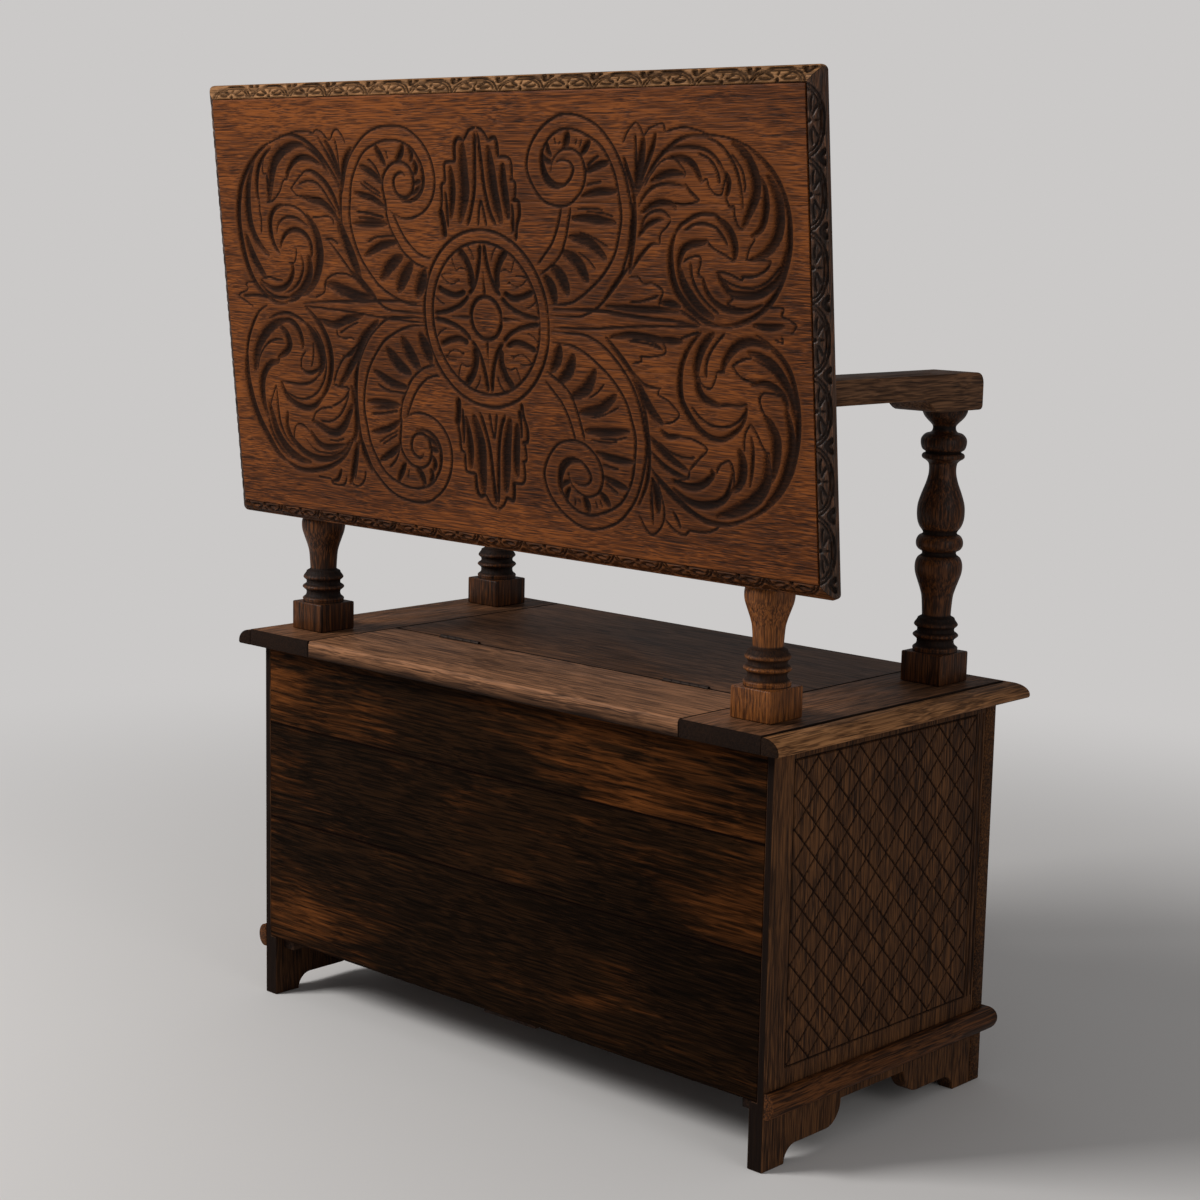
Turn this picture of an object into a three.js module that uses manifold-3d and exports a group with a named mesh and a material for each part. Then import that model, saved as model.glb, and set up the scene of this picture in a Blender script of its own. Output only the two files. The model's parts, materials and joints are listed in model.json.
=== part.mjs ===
// A carved oak settle bench whose back tilts forward over the arms to make a table.
// Millimetres. +Z is up, +Y is the rear, -Y is the side the sitter faces, and +X is the sitter's left.
// The pieces are placed from the seat's rear edge at y = 0, and the last group moves them to the origin.
import * as THREE from "three";
import { mergeVertices } from "three/addons/utils/BufferGeometryUtils.js";
import Module from "manifold-3d";

// Fits shared by the whole bench
const glueGap = 0.3; // between pieces that are glued, nailed or seated on each other
const weldTolerance = 0.001; // vertices nearer than this are one
const overrun = 5; // how far a cutter runs past the face it opens

// Seat
const seatTopHeight = 451;
const seatThickness = 19;
const seatLength = 820; // from end nosing to end nosing
const seatDepth = 440; // rear edge to the front of the nosing
const nosingWidth = 21.5;
const nosingQuirk = 1.5; // step from the seat down to the nosing
const nosingToe = 3; // small round under the nosing
const seatEndBoardWidth = 104.5;
const rearRailDepth = 137;
const rearRailChamfer = 4;

// Lid
const lidSideGap = 1.2; // each side, to the seat's end boards
const lidRearGap = 1.6; // along the hinge line
const lidBattenWidth = 45;
const lidBattenThickness = 18;
const lidBattenInset = 36; // from the front board's inner face and from the hinge line
const lidBattenOffset = 95; // from the batten's middle to the bench's middle line

// Hinges
const hingeLength = 64;
const hingeOffset = 174; // hinge middle from the bench's middle line
const leafThickness = 1.8;
const leafHeight = 15;
const knuckleRadius = 2.5;
const knuckleRise = 0.2; // hinge axis above the seat top
const knuckleGap = 0.3; // axial play between knuckles
const knuckleCount = 5;
const hingePinRadius = 1.1;
const hingePinPlay = 0.3;

// Chest
const chestSetback = 23; // rear of the chest ahead of the seat's rear edge
const chestFrontSetback = 33; // front of the chest behind the seat's front edge
const endBoardThickness = 19;
const frontBoardThickness = 19;
const backPlankThickness = 12;
const backLipWidth = 9; // end board left standing outside the back planks
const backLowerEdge = 72;
const backLowerJoint = 222;
const backUpperJoint = 337;
const bottomThickness = 12;
const bottomBattenThickness = 12;
const bottomBattenWidth = 80;
const bottomBattenOffset = 18; // the batten stands this far to the right of the middle
const bottomBattenDrop = 9; // the batten shows this far below the back planks
const cleatSize = 18;

// Bracket feet cut in the lower edges of the chest
const rearFootLength = 36;
const frontFootLength = 32;
const frontBoardFootLength = 51;
const footCoveRadius = 18;
const footLobeLength = 50;
const footRoundLength = 25;
const archHeight = 45;

// Base moulding
const baseMouldingBottom = 57;
const baseMouldingHeight = 27;
const baseMouldingProjection = 13;
const baseMouldingFillet = 3;

// Columns
const columnInset = 72; // column middle from the nosing's end edge
const rearColumnInset = 70; // rear column middle ahead of the seat's rear edge
const frontColumnInset = 81.5; // front column middle behind the seat's front edge
const columnBlockWidth = 51.8;
const columnBlockHeight = 33;
const columnTurnedLength = 261.5;
const columnRadius = 25.5;
const columnSides = 16;
const tenonRadius = 9;
const seatTenonLength = 15;
const armTenonLength = 11;
const tenonPlay = 0.3;

// Arms
const armWidth = 56;
const armThickness = 26;
const armPadThickness = 40;
const armFrontReach = 29; // front column middle to the arm's front end
const armFrontPadLength = 76;
const armRearPadLength = 62;
const armFrontStepLength = 33; // ogee from the front pad to the thin middle
const armRearStepLength = 22;
const armNoseRadius = 14;
const armNoseLowerRadius = 6;
const armReedWidth = 3;
const armReedDepth = 1.2;
const armReedInset = 9; // outer reed's middle from the arm's side
const armReedPitch = 8;
const armReedFrontStop = 46; // reeds stop this far behind the front column's middle

// Tilting top
const topFaceLength = 860; // carved face between the edge mouldings
const topFaceHeight = 466;
const topThickness = 16;
const topLowerPlankHeight = 191;
const topUpperPlankHeight = 110;
const topLean = THREE.MathUtils.degToRad(5.7);
const topLowerEdgeAboveBlock = 101; // lower inner corner of the top above the column's block
const topRestGap = 2; // least gap between the upright top and the rear columns
const edgeMouldingWidth = 16;
const edgeMouldingOuterHeight = 7;
const edgeMouldingQuirk = 1;
const edgeMouldingRound = 2.5;
const edgeMouldingCornerRadius = 8; // the mitred corners, worn round
const cornerSteps = 4;

// Battens under the top, with the slots that slide on the pegs
const battenThickness = 22;
const battenDepth = 42;
const battenArmGap = 2;
const battenEndInset = 35; // from the top's long edges
const battenEndRadius = 16;
const slotPlay = 0.4;
const topTravel = 115;

// Pegs
const pegRadius = 6;
const pegPlay = 0.4;
const pegHeadRadius = 11;
const pegHeadLength = 8;
const pegArmClearance = 0.5; // top's inner face to the arm's rounded end
const pegTipGap = 1; // peg's inner end short of the batten's inner face
const roundSides = 24;
const curveSteps = 8;

// Places worked out from the sizes above
const seatUnderside = seatTopHeight - seatThickness;
const seatHalfField = seatLength / 2 - nosingWidth;
const seatFrontQuirk = -seatDepth + nosingWidth;
const seamX = seatHalfField - seatEndBoardWidth;
const chestHalfLength = seatHalfField;
const chestRear = -chestSetback;
const chestFront = -seatDepth + chestFrontSetback;
const chestDepth = chestRear - chestFront;
const frontBoardRear = chestFront + frontBoardThickness;
const endBoardInner = chestHalfLength - endBoardThickness;
const hingeY = -rearRailDepth - lidRearGap / 2;
const hingeZ = seatTopHeight + knuckleRise;
const columnX = seatLength / 2 - columnInset;
const rearColumnY = -rearColumnInset;
const frontColumnY = -seatDepth + frontColumnInset;
const columnBlockTop = seatTopHeight + glueGap + columnBlockHeight;
const armUnderside = columnBlockTop + columnTurnedLength + glueGap;
const armTop = armUnderside + armPadThickness;
const pegZ = armTop - armPadThickness / 2;
const armInnerX = columnX - armWidth / 2;
const armOuterX = columnX + armWidth / 2;
const topHeight = topFaceHeight + 2 * edgeMouldingWidth;
const battenOuterX = armInnerX - battenArmGap;
const battenInnerX = battenOuterX - battenThickness;
const bottomUnderside = backLowerEdge - bottomBattenDrop + bottomBattenThickness + glueGap;

const wasm = await Module();
wasm.setup();

const oakTop = new THREE.MeshStandardMaterial({ color: 0x6f4527, roughness: 0.5, metalness: 0 });
const oakSeat = new THREE.MeshStandardMaterial({ color: 0x6a5240, roughness: 0.55, metalness: 0 });
const oakChest = new THREE.MeshStandardMaterial({ color: 0x54382a, roughness: 0.55, metalness: 0 });
const oakTurned = new THREE.MeshStandardMaterial({ color: 0x4a2e1e, roughness: 0.4, metalness: 0 });
const stainedPine = new THREE.MeshStandardMaterial({ color: 0x38241a, roughness: 0.7, metalness: 0 });
const blackIron = new THREE.MeshStandardMaterial({ color: 0x1d1a18, roughness: 0.5, metalness: 0.8 });

const bench = new THREE.Group();

// A closed three.js geometry as a solid that can be cut and joined.
function solidFrom(geometry) {
  const bare = geometry.clone();
  bare.deleteAttribute("normal");
  bare.deleteAttribute("uv");
  const merged = mergeVertices(bare, weldTolerance);
  return new wasm.Manifold(
    new wasm.Mesh({
      numProp: 3,
      vertProperties: merged.attributes.position.array,
      triVerts: new Uint32Array(merged.index.array),
    }),
  );
}

// A solid as a flat-shaded geometry.
function geometryFrom(solid) {
  const mesh = solid.getMesh();
  const geometry = new THREE.BufferGeometry();
  geometry.setAttribute("position", new THREE.BufferAttribute(mesh.vertProperties, mesh.numProp));
  geometry.setIndex(new THREE.BufferAttribute(mesh.triVerts, 1));
  const flat = geometry.toNonIndexed();
  flat.computeVertexNormals();
  return flat;
}

// Adds a named mesh to a group, from a geometry or a cut solid.
function addPiece(group, name, shape, material) {
  const geometry = shape.isBufferGeometry ? shape : geometryFrom(shape);
  const mesh = new THREE.Mesh(geometry, material);
  mesh.name = name;
  group.add(mesh);
  return mesh;
}

// A board between two corners.
function board(lowX, highX, lowY, highY, lowZ, highZ) {
  const geometry = new THREE.BoxGeometry(highX - lowX, highY - lowY, highZ - lowZ);
  geometry.translate((lowX + highX) / 2, (lowY + highY) / 2, (lowZ + highZ) / 2);
  return geometry;
}

// An outline drawn in Y and Z, carried along X.
function alongX(shape, lowX, highX) {
  const geometry = new THREE.ExtrudeGeometry(shape, {
    depth: highX - lowX,
    bevelEnabled: false,
    curveSegments: curveSteps,
  });
  const turn = new THREE.Matrix4().makeBasis(
    new THREE.Vector3(0, 1, 0),
    new THREE.Vector3(0, 0, 1),
    new THREE.Vector3(1, 0, 0),
  );
  geometry.applyMatrix4(turn);
  geometry.translate(lowX, 0, 0);
  return geometry;
}

// An outline drawn in X and Z, carried along Y.
function alongY(shape, lowY, highY) {
  const geometry = new THREE.ExtrudeGeometry(shape, {
    depth: highY - lowY,
    bevelEnabled: false,
    curveSegments: curveSteps,
  });
  const turn = new THREE.Matrix4().makeBasis(
    new THREE.Vector3(1, 0, 0),
    new THREE.Vector3(0, 0, 1),
    new THREE.Vector3(0, -1, 0),
  );
  geometry.applyMatrix4(turn);
  geometry.translate(0, highY, 0);
  return geometry;
}

// A round bar or cutter along X.
function barAlongX(radius, lowX, highX, y, z, sides) {
  const geometry = new THREE.CylinderGeometry(radius, radius, highX - lowX, sides);
  geometry.rotateZ(Math.PI / 2);
  geometry.translate((lowX + highX) / 2, y, z);
  return geometry;
}

// A turned shape on the Z axis, from radius and height pairs that start and end on the axis.
function turned(profile, sides) {
  const points = profile.map(([radius, height]) => new THREE.Vector2(radius, height));
  const geometry = new THREE.LatheGeometry(points, sides);
  geometry.rotateX(Math.PI / 2);
  return geometry;
}

// A strip of moulding: its profile has x outward and y upward, and its ends can be mitred at 45 degrees.
// The strip runs from start along outward x upward.
function mouldingStrip(profile, length, mitreStart, mitreEnd, start, outward, upward) {
  const geometry = new THREE.ExtrudeGeometry(profile, {
    depth: length,
    bevelEnabled: false,
    curveSegments: curveSteps,
  });
  const place = geometry.getAttribute("position");
  for (let i = 0; i < place.count; i += 1) {
    const reach = place.getX(i);
    const atEnd = place.getZ(i) > length / 2;
    place.setZ(i, atEnd ? length + reach * mitreEnd : -reach * mitreStart);
  }
  const run = outward.clone().cross(upward);
  geometry.applyMatrix4(new THREE.Matrix4().makeBasis(outward, upward, run));
  geometry.translate(start.x, start.y, start.z);
  return geometry;
}

// The lower edge of a chest board, with bracket feet: each foot has a cove, a flat lobe and a quarter
// round that rises to the flat arch.
function traceFeet(shape, start, end, startFoot, endFoot) {
  const rise = footCoveRadius;
  const round = footRoundLength;
  const drop = archHeight - rise;
  const lobeA = start + startFoot + rise + footLobeLength;
  const lobeB = end - endFoot - rise - footLobeLength;
  shape.moveTo(start, 0);
  shape.lineTo(start + startFoot, 0);
  shape.absarc(start + startFoot + rise, 0, rise, Math.PI, Math.PI / 2, true);
  shape.lineTo(lobeA, rise);
  shape.absellipse(lobeA, archHeight, round, drop, -Math.PI / 2, 0, false);
  shape.lineTo(lobeB - round, archHeight);
  shape.absellipse(lobeB, archHeight, round, drop, Math.PI, -Math.PI / 2, false);
  shape.lineTo(end - endFoot - rise, rise);
  shape.absarc(end - endFoot - rise, 0, rise, Math.PI / 2, 0, true);
  shape.lineTo(end, 0);
}

// The chest: two ends, a front, three back planks and a bottom on cleats.
function addChest() {
  const rebateX = chestHalfLength - backLipWidth;
  const backFace = chestRear - backPlankThickness;
  const top = seatUnderside - glueGap;
  for (const [side, sign] of [["left", 1], ["right", -1]]) {
    const outline = new THREE.Shape();
    traceFeet(outline, frontBoardRear + glueGap, chestRear, frontFootLength, rearFootLength);
    outline.lineTo(chestRear, top);
    outline.lineTo(frontBoardRear + glueGap, top);
    const faces = [sign * endBoardInner, sign * chestHalfLength].sort((a, b) => a - b);
    const rebateFaces = [sign * (endBoardInner - overrun), sign * rebateX].sort((a, b) => a - b);
    const rebate = board(
      ...rebateFaces,
      backFace - glueGap,
      chestRear + overrun,
      backLowerEdge,
      top + overrun,
    );
    const end = solidFrom(alongX(outline, ...faces)).subtract(solidFrom(rebate));
    addPiece(bench, `end_board_${side}`, end, oakChest);

    const cleatTop = bottomUnderside - glueGap;
    const cleatFaces = [sign * (endBoardInner - glueGap), sign * (endBoardInner - glueGap - cleatSize)];
    cleatFaces.sort((a, b) => a - b);
    const cleat = board(
      ...cleatFaces,
      frontBoardRear + glueGap,
      backFace - glueGap,
      cleatTop - cleatSize,
      cleatTop,
    );
    addPiece(bench, `bottom_cleat_${side}`, cleat, stainedPine);
  }

  const front = new THREE.Shape();
  traceFeet(front, -chestHalfLength, chestHalfLength, frontBoardFootLength, frontBoardFootLength);
  front.lineTo(chestHalfLength, top);
  front.lineTo(-chestHalfLength, top);
  addPiece(bench, "front_board", alongY(front, chestFront, frontBoardRear), oakChest);

  const plankEdges = [
    ["back_plank_lower", backLowerEdge + glueGap, backLowerJoint],
    ["back_plank_middle", backLowerJoint + glueGap, backUpperJoint],
    ["back_plank_upper", backUpperJoint + glueGap, top],
  ];
  const plankEnd = rebateX - glueGap;
  for (const [name, low, high] of plankEdges) {
    addPiece(bench, name, board(-plankEnd, plankEnd, backFace, chestRear, low, high), stainedPine);
  }

  const bottomEnd = endBoardInner - glueGap;
  const bottomRear = backFace - glueGap;
  const bottomFront = frontBoardRear + glueGap;
  const bottomJoint = (bottomRear + bottomFront) / 2;
  const low = bottomUnderside;
  const high = low + bottomThickness;
  addPiece(
    bench,
    "bottom_board_rear",
    board(-bottomEnd, bottomEnd, bottomJoint + glueGap, bottomRear, low, high),
    stainedPine,
  );
  addPiece(
    bench,
    "bottom_board_front",
    board(-bottomEnd, bottomEnd, bottomFront, bottomJoint, low, high),
    stainedPine,
  );
  const battenLow = -bottomBattenOffset - bottomBattenWidth / 2;
  addPiece(
    bench,
    "bottom_batten",
    board(
      battenLow,
      battenLow + bottomBattenWidth,
      bottomFront,
      bottomRear,
      low - glueGap - bottomBattenThickness,
      low - glueGap,
    ),
    stainedPine,
  );
}

// Half-round moulding round the foot of the chest, mitred at the two front corners.
function addBaseMoulding() {
  const profile = new THREE.Shape();
  const reach = baseMouldingProjection;
  const rise = baseMouldingHeight;
  profile.moveTo(glueGap, 0);
  profile.lineTo(baseMouldingFillet, 0);
  profile.absellipse(
    baseMouldingFillet,
    rise / 2,
    reach - baseMouldingFillet,
    rise / 2,
    -Math.PI / 2,
    Math.PI / 2,
    false,
  );
  profile.lineTo(glueGap, rise);
  const up = new THREE.Vector3(0, 0, 1);
  const left = mouldingStrip(
    profile,
    chestDepth - glueGap,
    0,
    1,
    new THREE.Vector3(chestHalfLength, chestRear, baseMouldingBottom),
    new THREE.Vector3(1, 0, 0),
    up,
  );
  addPiece(bench, "base_moulding_left", left, oakChest);
  const right = mouldingStrip(
    profile,
    chestDepth - glueGap,
    1,
    0,
    new THREE.Vector3(-chestHalfLength, chestFront + glueGap, baseMouldingBottom),
    new THREE.Vector3(-1, 0, 0),
    up,
  );
  addPiece(bench, "base_moulding_right", right, oakChest);
  const front = mouldingStrip(
    profile,
    2 * (chestHalfLength - glueGap),
    1,
    1,
    new THREE.Vector3(chestHalfLength - glueGap, chestFront, baseMouldingBottom),
    new THREE.Vector3(0, -1, 0),
    up,
  );
  addPiece(bench, "base_moulding_front", front, oakChest);
}

// The nosing's profile: a quirk at the top, an ovolo and a small round at the toe.
function nosingProfile() {
  const profile = new THREE.Shape();
  const rise = seatThickness - nosingQuirk;
  profile.moveTo(glueGap, 0);
  profile.lineTo(nosingWidth - nosingToe, 0);
  profile.quadraticCurveTo(nosingWidth, 0, nosingWidth, nosingToe);
  profile.absellipse(
    nosingToe,
    nosingToe,
    nosingWidth - nosingToe,
    rise - nosingToe,
    0,
    Math.PI / 2,
    false,
  );
  profile.lineTo(glueGap, rise);
  return profile;
}

// The fixed seat: a rear rail between two end boards, with nosing along the ends and the front corners.
function addSeat() {
  const rail = new THREE.Shape();
  rail.moveTo(0, seatUnderside);
  rail.lineTo(0, seatTopHeight - rearRailChamfer);
  rail.lineTo(-rearRailChamfer / 2, seatTopHeight);
  rail.lineTo(-rearRailDepth, seatTopHeight);
  rail.lineTo(-rearRailDepth, seatUnderside);
  const railEnd = seamX - glueGap;
  let railSolid = solidFrom(alongX(rail, -railEnd, railEnd));
  for (const sign of [1, -1]) {
    railSolid = railSolid.subtract(hingeRecess(sign));
  }
  addPiece(bench, "seat_rear_rail", railSolid, oakSeat);

  const up = new THREE.Vector3(0, 0, 1);
  const profile = nosingProfile();
  for (const [side, sign] of [["left", 1], ["right", -1]]) {
    const faces = [sign * seamX, sign * seatHalfField].sort((a, b) => a - b);
    let endBoard = solidFrom(board(...faces, seatFrontQuirk, 0, seatUnderside, seatTopHeight));
    for (const y of [rearColumnY, frontColumnY]) {
      endBoard = endBoard.subtract(tenonBore(sign * columnX, y, seatTopHeight, -seatTenonLength));
    }
    addPiece(bench, `seat_end_board_${side}`, endBoard, oakSeat);

    const length = -seatFrontQuirk - glueGap;
    const startY = sign > 0 ? 0 : -length;
    const endNosing = mouldingStrip(
      profile,
      length,
      sign > 0 ? 0 : 1,
      sign > 0 ? 1 : 0,
      new THREE.Vector3(sign * seatHalfField, startY, seatUnderside),
      new THREE.Vector3(sign, 0, 0),
      up,
    );
    addPiece(bench, `seat_end_nosing_${side}`, endNosing, oakSeat);

    const frontLength = seatEndBoardWidth - glueGap;
    const startX = sign > 0 ? seatHalfField - glueGap : -seamX;
    const frontNosing = mouldingStrip(
      profile,
      frontLength,
      sign > 0 ? 1 : 0,
      sign > 0 ? 0 : 1,
      new THREE.Vector3(startX, seatFrontQuirk, seatUnderside),
      new THREE.Vector3(0, -1, 0),
      up,
    );
    addPiece(bench, `seat_front_nosing_${side}`, frontNosing, oakSeat);
  }
}

// A round hole for a tenon, from a face down (negative depth) or up (positive depth).
function tenonBore(x, y, faceZ, depth) {
  const reach = Math.abs(depth) + glueGap;
  const length = reach + overrun;
  const bore = new THREE.CylinderGeometry(
    tenonRadius + tenonPlay,
    tenonRadius + tenonPlay,
    length,
    columnSides,
  );
  bore.rotateX(Math.PI / 2);
  const direction = Math.sign(depth);
  bore.translate(x, y, faceZ + direction * (reach - length / 2));
  return solidFrom(bore);
}

// The room that one hinge takes out of the rail and the lid: both leaves and the round of the knuckles.
function hingeRecess(sign) {
  const half = hingeLength / 2 + glueGap;
  const middle = sign * hingeOffset;
  const leafReach = lidRearGap / 2 + leafThickness + glueGap;
  const leaves = board(
    middle - half,
    middle + half,
    hingeY - leafReach,
    hingeY + leafReach,
    seatTopHeight - leafHeight - glueGap,
    hingeZ + overrun,
  );
  const round = barAlongX(
    knuckleRadius + glueGap,
    middle - half,
    middle + half,
    hingeY,
    hingeZ,
    roundSides,
  );
  return solidFrom(leaves).add(solidFrom(round));
}

// One leaf with its share of the knuckles. Facing is 1 for the rail's leaf and -1 for the lid's.
function hingeLeaf(sign, facing) {
  const middle = sign * hingeOffset;
  const start = middle - hingeLength / 2;
  const pitch = hingeLength / knuckleCount;
  const inner = hingeY + facing * (lidRearGap / 2);
  const outer = inner + facing * leafThickness;
  const plateY = [inner, outer].sort((a, b) => a - b);
  const plateTop = hingeZ - knuckleRadius / 2;
  let leaf = solidFrom(
    board(start, start + hingeLength, ...plateY, seatTopHeight - leafHeight, plateTop),
  );
  for (let i = 0; i < knuckleCount; i += 1) {
    const own = i % 2 === (facing > 0 ? 0 : 1);
    const low = start + i * pitch;
    if (own) {
      leaf = leaf.add(
        solidFrom(
          barAlongX(knuckleRadius, low, low + pitch - knuckleGap, hingeY, hingeZ, roundSides),
        ),
      );
    } else {
      const room = barAlongX(
        knuckleRadius + glueGap,
        low - knuckleGap,
        low + pitch,
        hingeY,
        hingeZ,
        roundSides,
      );
      leaf = leaf.subtract(solidFrom(room));
    }
  }
  const bore = barAlongX(
    hingePinRadius + hingePinPlay,
    start - overrun,
    start + hingeLength + overrun,
    hingeY,
    hingeZ,
    roundSides,
  );
  return leaf.subtract(solidFrom(bore));
}

// The lid: a panel with its own nosing, two battens beneath and two butt hinges on the rear rail.
function addLid() {
  const half = seamX - lidSideGap;
  const rear = -rearRailDepth - lidRearGap;
  let panel = solidFrom(board(-half, half, seatFrontQuirk, rear, seatUnderside, seatTopHeight));
  for (const sign of [1, -1]) {
    panel = panel.subtract(hingeRecess(sign));
  }
  addPiece(bench, "lid_panel", panel, oakSeat);

  const nosing = mouldingStrip(
    nosingProfile(),
    2 * half,
    0,
    0,
    new THREE.Vector3(half, seatFrontQuirk, seatUnderside),
    new THREE.Vector3(0, -1, 0),
    new THREE.Vector3(0, 0, 1),
  );
  addPiece(bench, "lid_nosing", nosing, oakSeat);

  const battenTop = seatUnderside - glueGap;
  for (const [side, sign] of [["left", 1], ["right", -1]]) {
    const middle = sign * lidBattenOffset;
    const batten = board(
      middle - lidBattenWidth / 2,
      middle + lidBattenWidth / 2,
      frontBoardRear + lidBattenInset,
      rear - lidBattenInset,
      battenTop - lidBattenThickness,
      battenTop,
    );
    addPiece(bench, `lid_batten_${side}`, batten, stainedPine);
    addPiece(bench, `hinge_fixed_leaf_${side}`, hingeLeaf(sign, 1), blackIron);
    addPiece(bench, `hinge_moving_leaf_${side}`, hingeLeaf(sign, -1), blackIron);
    const pin = barAlongX(
      hingePinRadius,
      sign * hingeOffset - hingeLength / 2,
      sign * hingeOffset + hingeLength / 2,
      hingeY,
      hingeZ,
      roundSides,
    );
    addPiece(bench, `hinge_pin_${side}`, pin, blackIron);
  }
}

// The column's turned outline above its block, as shares of its length and of its largest radius:
// three rings, a neck, the lower vase, a bead, the upper vase, a small ring, a torus and a flared cap.
const columnShares = [
  [0.0, 0.88],
  [0.009, 0.955],
  [0.018, 0.955],
  [0.03, 0.86],
  [0.044, 0.8],
  [0.058, 0.92],
  [0.067, 0.965],
  [0.076, 0.93],
  [0.085, 0.82],
  [0.094, 0.81],
  [0.105, 0.92],
  [0.114, 0.945],
  [0.127, 0.89],
  [0.139, 0.78],
  [0.148, 0.63],
  [0.157, 0.61],
  [0.222, 0.655],
  [0.255, 0.73],
  [0.292, 0.86],
  [0.323, 0.965],
  [0.35, 1.0],
  [0.373, 0.975],
  [0.391, 0.89],
  [0.404, 0.73],
  [0.416, 0.73],
  [0.425, 0.88],
  [0.438, 0.97],
  [0.453, 0.99],
  [0.468, 0.96],
  [0.481, 0.87],
  [0.489, 0.73],
  [0.499, 0.73],
  [0.52, 0.88],
  [0.547, 0.975],
  [0.58, 1.0],
  [0.615, 0.965],
  [0.658, 0.83],
  [0.7, 0.67],
  [0.74, 0.575],
  [0.775, 0.59],
  [0.79, 0.7],
  [0.8, 0.86],
  [0.81, 0.9],
  [0.819, 0.85],
  [0.826, 0.74],
  [0.838, 0.89],
  [0.86, 0.96],
  [0.882, 0.94],
  [0.9, 0.78],
  [0.909, 0.54],
  [0.932, 0.49],
  [0.957, 0.72],
  [0.972, 0.85],
  [0.99, 0.94],
  [1.0, 0.94],
];

function columnProfile() {
  return columnShares.map(([heightShare, radiusShare]) => [
    radiusShare * columnRadius,
    heightShare * columnTurnedLength,
  ]);
}

// A square block with a turned column on it, and a tenon at each end.
function column(x, y) {
  const profile = columnProfile();
  const foot = -columnBlockHeight - glueGap;
  const [[footRadius]] = profile;
  const shape = [
    [0, foot - seatTenonLength],
    [tenonRadius, foot - seatTenonLength],
    [tenonRadius, -columnBlockHeight / 2],
    [footRadius, -columnBlockHeight / 2],
    ...profile,
    [tenonRadius, columnTurnedLength],
    [tenonRadius, columnTurnedLength + armTenonLength],
    [0, columnTurnedLength + armTenonLength],
  ];
  const half = columnBlockWidth / 2;
  const block = board(-half, half, -half, half, -columnBlockHeight, 0);
  const solid = solidFrom(turned(shape, columnSides)).add(solidFrom(block));
  return solid.translate([x, y, columnBlockTop]);
}

function addColumns() {
  for (const [side, sign] of [["left", 1], ["right", -1]]) {
    addPiece(bench, `rear_column_${side}`, column(sign * columnX, rearColumnY), oakTurned);
    addPiece(bench, `front_column_${side}`, column(sign * columnX, frontColumnY), oakTurned);
  }
}

// Where the leaning top touches the rear columns: its lower corner or the fullest part above it.
function topRestOffset() {
  let reach = 0;
  for (const [radius, height] of columnProfile()) {
    const above = height - topLowerEdgeAboveBlock;
    if (above >= 0) {
      reach = Math.max(reach, radius - above * Math.tan(topLean));
    }
  }
  return reach;
}

const topInnerY = rearColumnY + topRestOffset() + topRestGap;
const topInnerZ = columnBlockTop + topLowerEdgeAboveBlock;
const pegFromFace = armPadThickness / 2 + pegArmClearance;
const pegFaceY = topInnerY + (pegZ - topInnerZ) * Math.tan(topLean);
const pegY = pegFaceY - pegFromFace / Math.cos(topLean);
const pegAboveLowerEdge =
  (pegZ - topInnerZ) * Math.cos(topLean) + (pegY - topInnerY) * Math.sin(topLean);

// The arms: thick pads over the columns, a thinner middle, a rounded nose and a round end at the peg.
function addArms() {
  const frontEnd = frontColumnY - armFrontReach;
  const thinUnderside = armTop - armThickness;
  const rearRadius = armPadThickness / 2;
  const frontPadEnd = frontEnd + armFrontPadLength;
  const rearPadEnd = pegY + rearRadius - armRearPadLength;
  const frontStepEnd = frontPadEnd + armFrontStepLength;
  const rearStepEnd = rearPadEnd - armRearStepLength;
  const outline = new THREE.Shape();
  outline.moveTo(frontEnd + armNoseLowerRadius, armUnderside);
  outline.lineTo(frontPadEnd, armUnderside);
  const frontMiddle = (frontPadEnd + frontStepEnd) / 2;
  outline.bezierCurveTo(
    frontMiddle,
    armUnderside,
    frontMiddle,
    thinUnderside,
    frontStepEnd,
    thinUnderside,
  );
  outline.lineTo(rearStepEnd, thinUnderside);
  const rearMiddle = (rearPadEnd + rearStepEnd) / 2;
  outline.bezierCurveTo(rearMiddle, thinUnderside, rearMiddle, armUnderside, rearPadEnd, armUnderside);
  outline.lineTo(pegY, armUnderside);
  outline.absarc(pegY, pegZ, rearRadius, -Math.PI / 2, Math.PI / 2, false);
  outline.lineTo(frontEnd + armNoseRadius, armTop);
  outline.quadraticCurveTo(frontEnd, armTop, frontEnd, armTop - armNoseRadius);
  outline.lineTo(frontEnd, armUnderside + armNoseLowerRadius);
  outline.quadraticCurveTo(frontEnd, armUnderside, frontEnd + armNoseLowerRadius, armUnderside);
  for (const [side, sign] of [["left", 1], ["right", -1]]) {
    const faces = [sign * armInnerX, sign * armOuterX].sort((a, b) => a - b);
    let arm = solidFrom(alongX(outline, ...faces));
    for (const y of [rearColumnY, frontColumnY]) {
      arm = arm.subtract(tenonBore(sign * columnX, y, armUnderside, armTenonLength));
    }
    const bore = barAlongX(
      pegRadius + pegPlay,
      faces[0] - overrun,
      faces[1] + overrun,
      pegY,
      pegZ,
      roundSides,
    );
    arm = arm.subtract(solidFrom(bore));
    for (const step of [0, 1]) {
      const reedX = sign * (armOuterX - armReedInset - step * armReedPitch);
      const reed = board(
        reedX - armReedWidth / 2,
        reedX + armReedWidth / 2,
        frontColumnY + armReedFrontStop,
        pegY - pegRadius,
        armTop - armReedDepth,
        armTop + overrun,
      );
      arm = arm.subtract(solidFrom(reed));
    }
    addPiece(bench, `arm_${side}`, arm, oakSeat);
  }
}

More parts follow.
